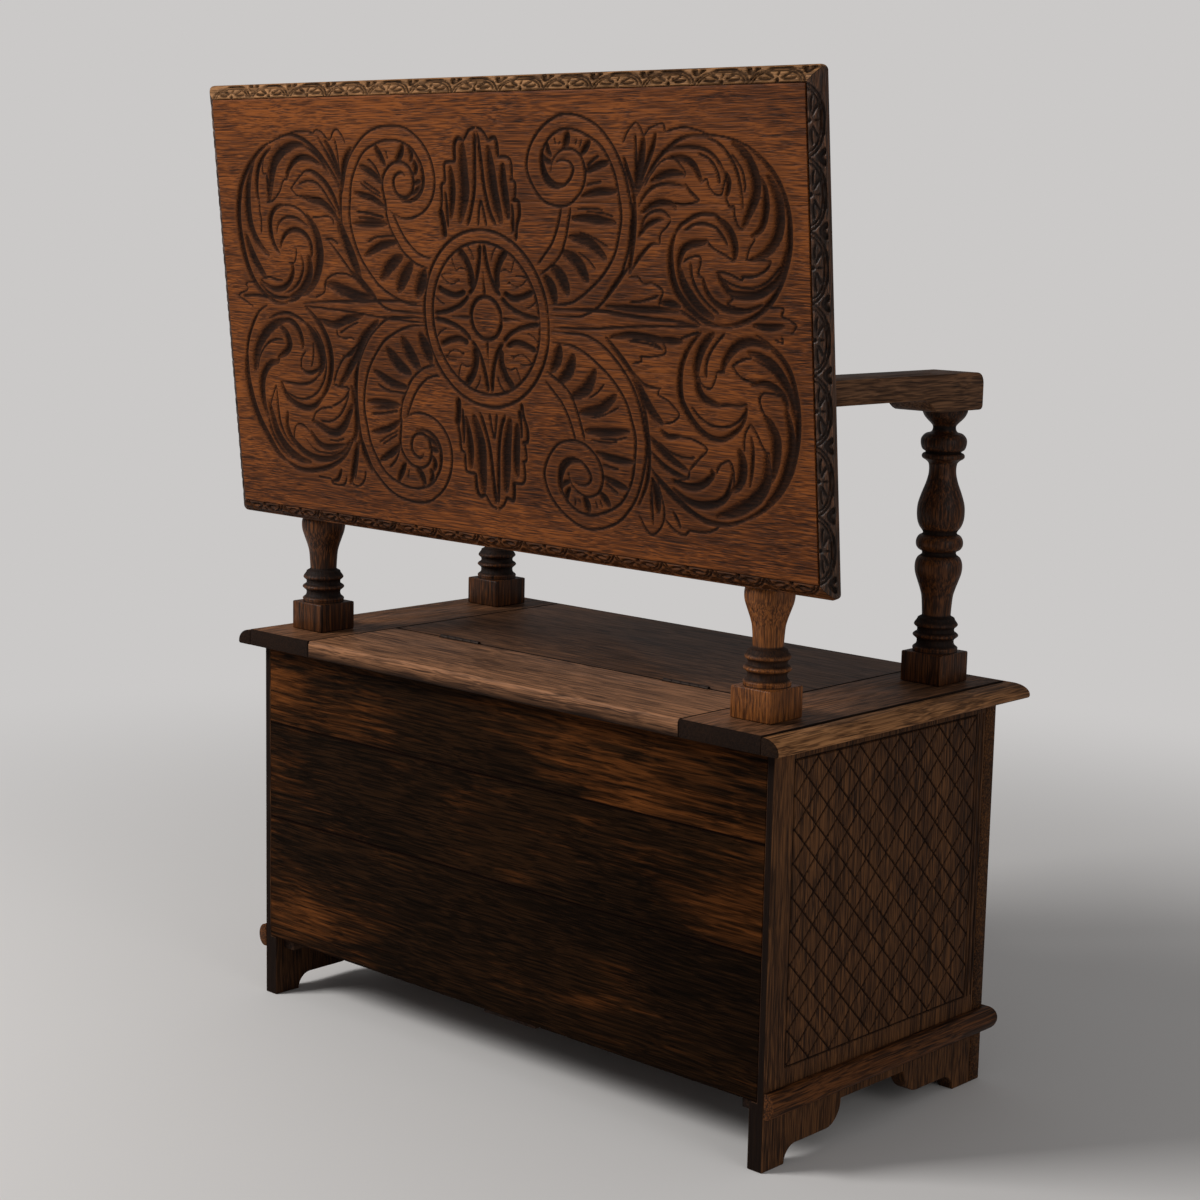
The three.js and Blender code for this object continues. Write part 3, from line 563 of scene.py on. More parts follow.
def darken_grooves(piece, outline):
    """Marks the grooves of a turned piece, where dirt and wax have stayed."""
    places, radii = np.array(outline).T
    depths = []
    for place, radius in outline:
        before = radii[(places <= place) & (places > place - groove_reach)].max()
        after = radii[(places >= place) & (places < place + groove_reach)].max()
        depths.append(min(before, after) - radius)
    marks = np.interp(depths, groove_depths, (0, groove_dirt))
    among_rings = places < places[0] + ring_zone * (places[-1] - places[0])
    below_crest = np.interp(radii / radii.max(), ring_fade, (ring_dirt, 0))
    marks = np.where(among_rings, below_crest, marks)
    marks[places < places[0] + seam_reach] = foot_dirt
    mark(piece, "cut", [np.interp(vertex.co.z, places, marks) for vertex in piece.data.vertices])


def sharpened(outline):
    """An outline whose lowest rings have narrow crests and wide hollows between them."""
    start, end = outline[0][0], outline[-1][0]
    widest = max(radius for _, radius in outline)
    low, high = ring_floor * widest, ring_crest * widest
    made = []
    for place, radius in outline:
        if place < start + ring_zone * (end - start) and radius > low:
            radius = low + (high - low) * min((radius - low) / (high - low), 1) ** ring_power
        made.append((place, radius))
    return made


def turned_column(node):
    """A column, its shaft spun from the CAD node's outline and its foot a block with chamfered arrises."""
    low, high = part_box(node)
    centre = (low + high) / 2
    centre.z = 0
    half = (high.x - low.x) / 2
    arm_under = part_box("arm_left")[0].z
    seat_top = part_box("seat_end_board_left")[1].z
    shown = node_profile(node, 2, centre, seat_top, arm_under)
    block_top = max(place for place, radius in shown if radius > half * block_reach)
    block_low = min(place for place, radius in shown if radius > half * block_reach)
    outline = [(place, radius) for place, radius in shown if place > block_top]
    outline[:0] = [(block_top, outline[0][1])]
    path, _ = curve_through(outline, turned_step)
    start, end = path[0][0], path[-1][0]
    sunk = start - half * sunk_share
    path = sharpened([tuple(point) for point in path])
    path = [(sunk, 0.0), (sunk, path[0][1]), *path, (end, 0.0)]
    piece = spun(f"{node}.made", path, 2, centre)
    darken_grooves(piece, path[2:-1])
    bpy.ops.mesh.primitive_cube_add(size=1, location=(centre.x, centre.y, (block_low + block_top) / 2))
    block = bpy.context.active_object
    block.dimensions = (2 * half, 2 * half, block_top - block_low)
    bpy.ops.object.transform_apply(location=True, rotation=False, scale=True)
    rounded(block, chamfer, 3)
    mark(block, "cut", [abs(vertex.co.z - block_low) < flat_tolerance for vertex in block.data.vertices])
    take_up(piece)
    block.select_set(True)
    bpy.ops.object.join()
    return piece


turned_colours = (tone("643a1b"), tone("3a2010"), tone("180d05"))
turned_oak = wood("turned_oak", *turned_colours, 2, 0.34, 420, seed=2.2, gloss=0.16)
worn_colours = (tone("8f5628"), tone("5f361a"), tone("301b0c"))
worn_oak = wood("turned_oak_worn", *worn_colours, 2, 0.34, 560, seed=7.7, gloss=0.16)
first = turned_column("rear_column_left")
first_middle = sum(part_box("rear_column_left"), Vector()) / 2
for node in ("rear_column_right", "front_column_left", "front_column_right"):
    middle = sum(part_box(node), Vector()) / 2
    piece = bpy.data.objects.new(f"{node}.made", first.data.copy())
    bpy.context.scene.collection.objects.link(piece)
    piece.data.transform(Matrix.Translation(middle - first_middle))
    stand_for(piece, node, worn_oak if node == "rear_column_right" else turned_oak)
stand_for(first, "rear_column_left", turned_oak)

# Arms: two lengths of oak, thick over each column and thinned between, with a rounded nose, two reeds
# along the outer side and a round rear end that takes the peg. They are tenoned on the columns.
arm_oak = wood("arm_oak", tone("735036"), tone("4d3321"), tone("27170c"), 1, 0.42, 420, seed=4.1)
for side in ("left", "right"):
    node = f"arm_{side}"
    stand_for(copied(node, 0.7 * millimetre), node, arm_oak)

# Pegs: two turned oak pegs with domed heads, pushed through the arms into the battens' slots, on which
# the top tilts and slides.
for side, sign in (("left", 1), ("right", -1)):
    node = f"pivot_peg_{side}"
    low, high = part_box(node)
    centre = (low + high) / 2
    centre.x = 0
    outline = node_profile(node, 0, centre, low.x, high.x)
    tip = min(low.x, high.x, key=abs)
    path = [(tip, 0.0), *outline] if sign > 0 else [*outline, (tip, 0.0)]
    stand_for(spun(f"{node}.made", path, 0, centre), node, turned_oak)

# Tilting top: three oak planks edge to edge, which make the table top and, upright, the bench's back.
# The face is carved with gouge and V tool, and the cuts have kept the dark stain; painted shade lies
# beside them, and a painted highlight on what stands between close cuts.
face_pitch = 1.3  # millimetres between the carved face's grid lines
plank_arris = 0.8  # millimetres rounded off the planks' long edges
plank_slope = 0.7
plank_smooth = math.radians(60)
arris_wear = 0.7  # millimetres over which the arrises of the cuts are blurred
kept_depth = 0.85  # share of a narrow cut's depth that the blur leaves at least
ring_points = 31
stroke_step = 2.0  # millimetres between places on a stroke
cut_depth = 0.66  # millimetres for a stroke one millimetre wide
cut_power = 0.72  # of the width, so wide strokes are shallower for their width
deepest_cut = 3.4
hollow_power = 1.3
hollow_gain = 1.2  # over one, so that the floor of a cut is a little flat
stain_gain = 2.3  # over one, so that the stain is even in the middle of a cut
swell_ends = 0.3  # the width at the ends of a swelling stroke, as a share of its widest
swell_power = 0.55
stain_strength = 0.95
painted_shade_spread = 6.0  # millimetres beside the cuts over which the face is darkened with painted shade
painted_shade_depth = 1.1  # the mean depth there at which it is darkest
painted_shade_strength = 0.4
highlight_spread = 3.0  # millimetres over which what stands between close cuts is painted paler as a highlight
highlight_height = 0.8
slide = next(joint for joint in frame["joints"] if joint["name"] == "top_slide")
top_up = Vector(slide["axis"]).normalized()
top_out = Vector((0, top_up.z, -top_up.y))


def spans(node, direction):
    """Where a CAD node begins and ends along a direction."""
    reaches = [vertex.co @ direction for vertex in frame["nodes"][node].data.vertices]
    return min(reaches), max(reaches)


def ring(centre, radius):
    """Points round a circle, which ends where it begins."""
    angles = np.linspace(0, math.tau, ring_points)
    return [(centre[0] + radius * math.cos(a), centre[1] + radius * math.sin(a)) for a in angles]


class Relief:
    """The depth below a face, in millimetres, on a grid of places across it and up it."""

    def __init__(self, across, up):
        self.across, self.up = across, up
        self.depth = np.zeros((len(up), len(across)))
        self.stain = np.zeros_like(self.depth)

    def cut(self, width, points, depth=None, swell=False, wide_end=None):
        """One stroke of the tool, as deep as its width asks unless a depth is given. A swelling one is
        widest halfway, and one with a wide end narrows or widens evenly to that width."""
        path, place = curve_through(points, stroke_step)
        low, high = path.min(0) - width, path.max(0) + width
        if low[1] > self.up[-1] or high[1] < self.up[0]:
            return
        half = np.full(len(path), width / 2)
        if swell:
            half *= swell_ends + (1 - swell_ends) * np.sin(math.pi * place) ** swell_power
        elif wide_end:
            half *= ((1 - place) + place * wide_end / width) * np.interp(place, (0, 0.12), (0.4, 1))
        else:
            half *= np.interp(np.minimum(place, 1 - place), (0, 0.05), (0.5, 1))
        full = depth or min(cut_depth * width**cut_power, deepest_cut)
        for start, end, near, far in zip(path, path[1:], half, half[1:]):
            least = np.minimum(start, end) - max(near, far)
            most = np.maximum(start, end) + max(near, far)
            columns = slice(*np.searchsorted(self.across, (least[0], most[0])))
            rows = slice(*np.searchsorted(self.up, (least[1], most[1])))
            along = end - start
            if columns.start >= columns.stop or rows.start >= rows.stop or not along.any():
                continue
            x = self.across[None, columns] - start[0]
            y = self.up[rows, None] - start[1]
            t = np.clip((x * along[0] + y * along[1]) / (along @ along), 0, 1)
            half_here = near + (far - near) * t
            share = np.hypot(x - t * along[0], y - t * along[1]) / half_here
            strength = np.sqrt(np.clip(2 * half_here / width, 0, 1))
            stroke = full * strength * np.clip(hollow_gain * (1 - share**hollow_power), 0, 1)
            block = self.depth[rows, columns]
            np.maximum(block, stroke, out=block)
            block = self.stain[rows, columns]
            np.maximum(block, strength * np.clip(stain_gain * (1 - share), 0, 1), out=block)

    def softened(self, spread):
        """The depth blurred over a distance."""
        pitch = self.across[1] - self.across[0]
        count = int(3 * spread / pitch) + 1
        weight = np.exp(-0.5 * (np.arange(-count, count + 1) * pitch / spread) ** 2)
        weight /= weight.sum()
        wide = np.pad(self.depth, count, mode="edge")
        wide = sum(w * wide[i : i + self.depth.shape[0]] for i, w in enumerate(weight))
        return sum(w * wide[:, i : i + self.depth.shape[1]] for i, w in enumerate(weight))


# The medallion's strokes, each (width, points) in millimetres from its centre, for the upper right
# quarter. The other quarters mirror it, and the star between them is left standing.
quarter_strokes = (
    (7, ((3, 77), (5, 62), (9, 47), (15, 34), (23, 25))),
    (7, ((77, 3), (62, 5), (47, 9), (34, 15), (25, 23))),
    (12, ((34, 70), (25, 60), (19, 46), (19, 33))),
    (9, ((70, 30), (56, 25), (42, 23), (30, 27))),
    (2.6, ((13, 61), (16, 69), (22, 76))),
    (2.6, ((61, 13), (69, 16), (76, 22))),
    (4.5, ((36, 38), (39.5, 39.5))),
    (2.4, ((25, 50), (33, 52), (41, 49))),
    (2.4, ((41, 49), (45, 58), (47, 66))),
    (2.4, ((39, 38), (48, 35), (56, 37), (65, 44))),
    (2.4, ((65, 44), (56, 46), (48, 46))),
    (3.4, ((32, 69), (40, 69), (48, 64))),
)
arm_strokes = ((6, ((0, 24), (0, 34), (0, 52))),)
# Strokes of the upper scrolls, left and right: the band's two edges, the eye and the inner band. The
# lower scrolls mirror them.
scroll_left = (
    (3.4, ((-97, 2), (-135, 3), (-150, 4), (-162, 8), (-175, 16), (-188, 26), (-200, 40), (-210, 56),
           (-217, 72), (-220, 90), (-220, 110), (-217, 130), (-210, 150), (-200, 168), (-186, 182),
           (-170, 193), (-152, 199), (-130, 201), (-110, 199), (-95, 192), (-82, 182), (-72, 168),
           (-67, 152), (-67, 138), (-72, 125), (-82, 114), (-95, 107), (-110, 103.5), (-122, 104),
           (-133, 108), (-140, 111))),
    (3.4, ((-97, 10), (-120, 12), (-135, 16), (-150, 22), (-165, 30), (-178, 42), (-190, 56), (-198, 70),
           (-204, 88), (-206, 105), (-203, 125), (-199, 142), (-190, 158), (-178, 172), (-163, 180),
           (-145, 185), (-128, 186), (-112, 183), (-98, 176), (-90, 166), (-84, 155), (-83, 142),
           (-88, 131), (-97, 124), (-110, 120.5), (-120, 121))),
    (4, ((-112, 148), (-118, 152), (-128, 148), (-131, 140), (-127, 130), (-118, 126), (-108, 127),
         (-101, 135), (-100, 148), (-106, 158), (-118, 163), (-132, 161), (-143, 153), (-149, 142),
         (-148, 128), (-144, 112))),
    (3.2, ((-148, 125), (-146, 110), (-142, 95), (-134, 82), (-125, 70), (-115, 62), (-102, 55), (-85, 51))),
    (3.2, ((-135, 108), (-128, 96), (-120, 84), (-110, 74), (-98, 66), (-85, 62.5), (-78, 63))),
)
scroll_right = (
    (3.4, ((92, 8), (130, 8.5), (145, 12), (160, 19), (175, 31), (188, 45), (198, 60), (206, 80),
           (210, 100), (212, 115), (209, 135), (203, 155), (195, 172), (185, 185), (172, 197), (155, 205),
           (135, 209.5), (118, 208), (100, 200), (85, 188), (75, 174), (71, 158), (75, 145), (83, 133),
           (93, 124), (105, 120), (118, 119), (130, 122), (140, 129), (148, 138), (152, 150), (150, 163),
           (143, 172), (130, 176), (118, 173), (108, 164), (105, 153))),
    (3.4, ((92, 19), (110, 20), (125, 23), (140, 30), (155, 40), (168, 50), (180, 63), (188, 75),
           (194, 92), (198, 110), (196, 130), (192, 150), (185, 165), (175, 178), (162, 186), (148, 192),
           (135, 195), (120, 194), (107, 188), (97, 178), (92, 165), (93, 150), (100, 141), (110, 137.5),
           (120, 139), (130, 145), (136, 155), (132, 162), (122, 165), (114, 163))),
    (3.2, ((117, 118), (113, 105), (108, 93), (100, 80), (90, 70), (80, 60))),
    (3.2, ((130, 118), (125, 100), (120, 85), (112, 70), (100, 60), (83, 50))),
)
# Strokes of the upright plume above the medallion.
plume = (
    (3.6, ((-1, 198), (-10, 195), (-18, 186), (-21, 184))),
    (5, ((-21, 185), (-28, 187), (-33, 180), (-34, 163))),
    (3.6, ((-34, 163), (-44, 163), (-50, 160), (-50, 142))),
    (4, ((-50, 142), (-56, 139), (-57, 125), (-60, 110))),
    (8, ((-60, 112), (-57, 98), (-56, 86))),
    (3.6, ((2, 198), (10, 194), (17, 185))),
    (5, ((17, 185), (27, 187), (30, 178), (30, 168))),
    (3.6, ((30, 168), (43, 168), (49, 162), (49, 146))),
    (3.6, ((46, 145), (53, 142), (52, 128), (48, 125))),
    (5, ((48, 124), (56, 123), (57, 110), (52, 98), (50, 84))),
    (5, ((-2, 192), (-4, 165), (-7, 135), (-14, 112), (-20, 98))),
    (5, ((2, 192), (5, 165), (8, 135), (14, 112), (22, 98))),
    (3.4, ((1, 124), (-2, 112), (-4, 98))),
    (3.4, ((2, 124), (5, 112), (8, 98))),
    (15, ((-21, 182), (-22, 155), (-22, 130), (-31, 101))),
    (14, ((17, 178), (19, 155), (22, 130), (30, 101))),
    (10, ((-41, 158), (-40, 135), (-45, 104))),
    (12, ((37, 161), (36, 140), (41, 106))),
    (4, ((-51, 132), (-50, 115), (-50, 95))),
    (5, ((46, 120), (47, 108), (46, 92))),
)
fine_units = 4.4  # to the millimetre, for the flutes and the corner swirls
# Flutes of the upper scrolls, left and right, each (width, points) in fine units across and down from
# the upper left of its own scroll.
flutes_left = (
    (60, ((590, 700), (565, 760), (530, 825))),
    (62, ((505, 668), (450, 730), (400, 805))),
    (58, ((440, 640), (360, 680), (285, 750))),
    (12, ((200, 578), (270, 552), (390, 545))),
    (42, ((415, 572), (300, 590), (180, 642))),
    (14, ((140, 432), (220, 440), (330, 458))),
    (34, ((350, 488), (230, 492), (110, 490))),
    (20, ((150, 462), (240, 468), (340, 478))),
    (34, ((345, 412), (250, 368), (135, 345))),
    (10, ((180, 298), (240, 330), (325, 365))),
    (12, ((205, 292), (260, 318), (315, 345))),
    (38, ((335, 300), (260, 250), (178, 212))),
    (14, ((245, 185), (290, 220), (320, 270))),
    (32, ((362, 214), (335, 175), (302, 122))),
    (8, ((375, 145), (385, 185))),
    (36, ((440, 198), (475, 160), (492, 118))),
    (24, ((540, 200), (550, 165), (530, 135))),
    (28, ((560, 262), (575, 225), (560, 190))),
    (26, ((545, 300), (600, 285))),
    (22, ((505, 355), (560, 335), (600, 300))),
    (20, ((450, 370), (520, 378), (590, 340), (618, 280), (610, 210), (570, 150))),
)
flutes_right = (
    (50, ((128, 728), (165, 780), (182, 848))),
    (55, ((172, 680), (230, 733), (264, 803))),
    (55, ((242, 618), (330, 660), (388, 745))),
    (9, ((345, 620), (400, 650), (440, 690))),
    (48, ((288, 550), (400, 570), (505, 642))),
    (10, ((350, 530), (430, 550), (520, 590))),
    (40, ((312, 470), (430, 470), (572, 486))),
    (10, ((350, 430), (430, 425), (500, 432))),
    (10, ((400, 440), (500, 445), (560, 460))),
    (36, ((375, 375), (470, 355), (592, 350))),
    (12, ((410, 325), (460, 315), (500, 310))),
    (34, ((408, 268), (470, 245), (548, 226))),
    (14, ((420, 240), (460, 215), (490, 200))),
    (32, ((385, 192), (412, 168), (440, 135))),
    (8, ((355, 152), (365, 122))),
    (8, ((380, 160), (395, 130))),
    (36, ((288, 162), (303, 130), (310, 95))),
    (8, ((235, 150), (230, 120))),
    (8, ((255, 150), (265, 135))),
    (26, ((205, 200), (185, 175), (182, 140))),
    (26, ((205, 228), (165, 215), (148, 190))),
    (28, ((150, 170), (145, 230), (170, 290), (220, 325), (285, 325))),
)
# Strokes of the corner swirls, each (width, points) in fine units across and down from the upper left
# of its own quarter.
swirl_upper_left = (
    (8, ((700, 60), (640, 52), (560, 52), (480, 68), (400, 90), (340, 110))),
    (26, ((340, 108), (270, 145), (205, 195), (150, 250), (105, 320), (78, 400), (68, 470), (70, 550),
          (85, 640), (110, 720), (150, 790), (200, 840), (260, 875), (320, 895), (400, 895))),
    (20, ((440, 72), (520, 66), (590, 82), (660, 115), (730, 165), (790, 225), (835, 280), (866, 330))),
    (44, ((318, 392), (335, 320), (355, 250), (385, 195), (440, 150), (500, 125), (560, 113), (620, 120))),
    (14, ((600, 118), (650, 135), (700, 165), (745, 205), (790, 260))),
    (26, ((470, 285), (482, 245), (515, 208), (560, 182), (610, 175), (670, 185), (735, 215))),
    (8, ((300, 396), (345, 388), (385, 362), (412, 335), (432, 300), (452, 282), (472, 286))),
    (20, ((362, 130), (310, 162), (268, 205), (245, 250), (232, 310), (232, 360), (244, 402))),
    (9, ((244, 402), (238, 440), (246, 480), (240, 548))),
    (8, ((300, 185), (288, 220), (292, 258), (315, 262), (310, 350))),
    (36, ((222, 190), (180, 260), (155, 340), (147, 420), (152, 490), (175, 555), (225, 615), (285, 660))),
    (38, ((115, 560), (135, 620), (165, 680), (205, 730), (250, 775))),
    (10, ((215, 778), (270, 770), (330, 778), (380, 782))),
    (24, ((372, 650), (335, 610), (315, 560), (312, 500), (332, 450), (372, 420), (430, 408))),
    (10, ((430, 408), (500, 412), (560, 436), (612, 478), (650, 530))),
    (46, ((600, 455), (655, 530), (672, 590), (675, 650), (658, 710), (625, 770), (580, 815), (520, 850))),
    (14, ((520, 850), (460, 875), (390, 888))),
    (14, ((362, 545), (372, 510), (405, 480), (455, 466), (515, 470), (565, 490), (612, 515))),
    (22, ((380, 622), (392, 588), (425, 552), (475, 530), (530, 530), (580, 552), (612, 590), (618, 640),
          (600, 668))),
    (7, ((502, 620), (497, 655), (480, 688), (438, 692))),
    (26, ((462, 690), (462, 735), (440, 775), (400, 808), (345, 826), (290, 826), (235, 806), (205, 785))),
    (42, ((592, 655), (596, 705), (580, 755), (545, 800), (495, 838), (430, 862))),
    (18, ((430, 862), (360, 872), (290, 862), (240, 838), (195, 800))),
    (14, ((535, 650), (545, 700), (528, 750), (488, 798), (440, 828), (385, 845))),
    (8, ((495, 326), (550, 282), (610, 240))),
    (22, ((600, 243), (655, 242), (710, 265), (765, 305), (808, 360), (835, 415), (855, 470))),
    (8, ((495, 326), (535, 358), (590, 368))),
    (30, ((570, 362), (640, 378), (700, 385), (755, 410), (800, 445), (835, 485))),
    (11, ((560, 302), (620, 290), (685, 296), (735, 332), (780, 385), (825, 440))),
    (8, ((640, 466), (700, 462), (755, 458), (792, 472), (800, 500))),
    (32, ((965, 130), (925, 175), (895, 235), (878, 300), (868, 350))),
    (14, ((862, 340), (858, 400), (855, 470))),
    (44, ((832, 470), (862, 540), (890, 600), (925, 665), (968, 745))),
    (11, ((735, 568), (775, 568), (820, 590))),
    (12, ((742, 572), (800, 622), (850, 672), (900, 722), (968, 792))),
    (8, ((690, 58), (722, 45), (762, 60), (800, 92), (822, 85), (842, 55), (872, 45), (902, 72),
         (926, 112))),
    (14, ((728, 80), (752, 115), (790, 165), (832, 235), (862, 300))),
    (26, ((775, 95), (805, 135), (840, 205), (870, 290))),
    (9, ((850, 90), (862, 150), (866, 240), (872, 290))),
    (10, ((712, 765), (765, 742), (835, 732), (900, 745), (968, 775))),
    (52, ((712, 788), (785, 800), (860, 822), (968, 845), (1060, 835))),
    (8, ((620, 858), (690, 830), (700, 790), (712, 768))),
)
swirl_upper_right = (
    (8, ((236, 76), (300, 62), (360, 58), (420, 70), (480, 88), (560, 98), (640, 118), (700, 145))),
    (24, ((680, 132), (760, 190), (820, 250), (860, 320), (885, 400), (892, 480), (885, 560), (860, 640),
          (820, 720), (770, 780), (700, 830), (620, 865), (540, 880), (480, 880))),
    (15, ((58, 350), (100, 290), (160, 220), (220, 165), (290, 120), (360, 95), (430, 90), (490, 100))),
    (8, ((0, 118), (25, 75), (60, 42), (80, 35), (100, 55), (118, 92))),
    (7, ((118, 92), (150, 62), (195, 45), (232, 42), (240, 78))),
    (10, ((72, 85), (70, 150), (65, 230), (60, 300))),
    (36, ((118, 100), (98, 180), (75, 250), (55, 330))),
    (24, ((188, 80), (165, 140), (130, 200), (90, 270), (58, 345))),
    (22, ((0, 180), (15, 240), (35, 290), (48, 345))),
    (26, ((48, 320), (45, 380), (40, 450), (30, 520), (15, 600), (2, 670))),
    (15, ((75, 385), (110, 340), (160, 305), (220, 290), (280, 292), (340, 305))),
    (14, ((340, 290), (370, 325), (418, 358))),
    (10, ((418, 358), (380, 368), (330, 375), (272, 372))),
    (26, ((90, 415), (140, 385), (200, 370), (262, 375), (285, 396))),
    (30, ((150, 280), (220, 255), (280, 245), (335, 250))),
    (8, ((110, 300), (150, 250), (200, 205), (250, 185), (290, 190), (320, 215), (345, 245), (335, 262))),
    (26, ((262, 182), (330, 184), (380, 205), (410, 240), (432, 284))),
    (8, ((432, 284), (460, 270), (470, 300), (500, 330), (535, 335), (550, 300), (570, 240))),
    (16, ((180, 205), (240, 155), (320, 140), (400, 140), (470, 155), (520, 190), (550, 230), (568, 265))),
    (11, ((420, 165), (480, 190), (520, 240), (530, 290))),
    (22, ((562, 240), (578, 275), (572, 320), (560, 345))),
    (9, ((560, 345), (580, 385), (600, 380), (605, 420), (620, 460), (645, 478))),
    (38, ((610, 120), (675, 172), (715, 240), (726, 300), (715, 350), (690, 395), (648, 470))),
    (13, ((470, 100), (540, 130), (590, 180), (625, 240), (645, 320), (650, 400))),
    (10, ((600, 170), (650, 230), (665, 290), (660, 325))),
    (28, ((740, 255), (765, 300), (773, 360), (768, 410), (750, 460), (720, 490), (692, 502))),
    (8, ((725, 345), (755, 345))),
    (40, ((790, 255), (835, 340), (845, 420), (832, 490), (795, 545), (745, 580), (685, 600))),
    (8, ((700, 502), (705, 520), (680, 550), (660, 600))),
    (8, ((660, 600), (720, 600), (792, 600))),
    (11, ((792, 602), (760, 640), (700, 665), (630, 668))),
    (9, ((490, 658), (540, 655), (590, 670), (630, 684), (640, 665))),
    (34, ((505, 662), (530, 702), (565, 738), (620, 748), (700, 745), (760, 722), (820, 680), (855, 620),
          (872, 560))),
    (10, ((520, 680), (580, 705), (660, 718), (730, 705), (790, 670), (840, 620))),
    (9, ((560, 745), (575, 768), (550, 785), (590, 800), (660, 808))),
    (16, ((560, 470), (520, 430), (480, 415), (420, 415), (360, 435), (300, 470), (262, 520))),
    (28, ((272, 500), (248, 560), (242, 620), (248, 680), (270, 740), (310, 790), (365, 835), (430, 868),
          (500, 885))),
    (30, ((592, 606), (602, 560), (590, 510), (560, 465), (505, 428))),
    (9, ((592, 606), (540, 580), (480, 555), (450, 525))),
    (28, ((452, 524), (420, 534), (370, 540), (320, 560), (295, 600), (285, 645))),
    (9, ((310, 620), (350, 598), (405, 592), (410, 620), (395, 665), (420, 680))),
    (22, ((420, 680), (435, 730), (470, 775), (530, 805), (600, 815), (680, 805), (740, 780))),
    (42, ((288, 640), (308, 710), (350, 770), (400, 815), (470, 850))),
    (11, ((355, 620), (360, 680), (390, 740), (440, 790), (500, 830))),
    (11, ((330, 485), (380, 460), (440, 455), (500, 470), (540, 510), (562, 545))),
    (13, ((80, 480), (110, 430), (160, 405), (210, 405), (240, 425), (255, 440))),
    (8, ((255, 440), (230, 470), (190, 505), (185, 545))),
    (15, ((185, 545), (140, 545), (90, 580), (40, 630), (5, 675))),
    (20, ((60, 520), (110, 470), (170, 445), (215, 440))),
    (8, ((0, 690), (50, 688), (80, 715), (140, 715), (190, 745), (170, 790), (165, 815))),
    (30, ((178, 795), (240, 800), (285, 808))),
    (10, ((0, 800), (60, 795), (120, 780), (165, 765))),
    (13, ((280, 820), (340, 850), (402, 884))),
    (8, ((765, 792), (845, 792), (840, 825), (880, 840), (912, 862), (890, 892))),
    (26, ((690, 868), (760, 876), (850, 866))),
)
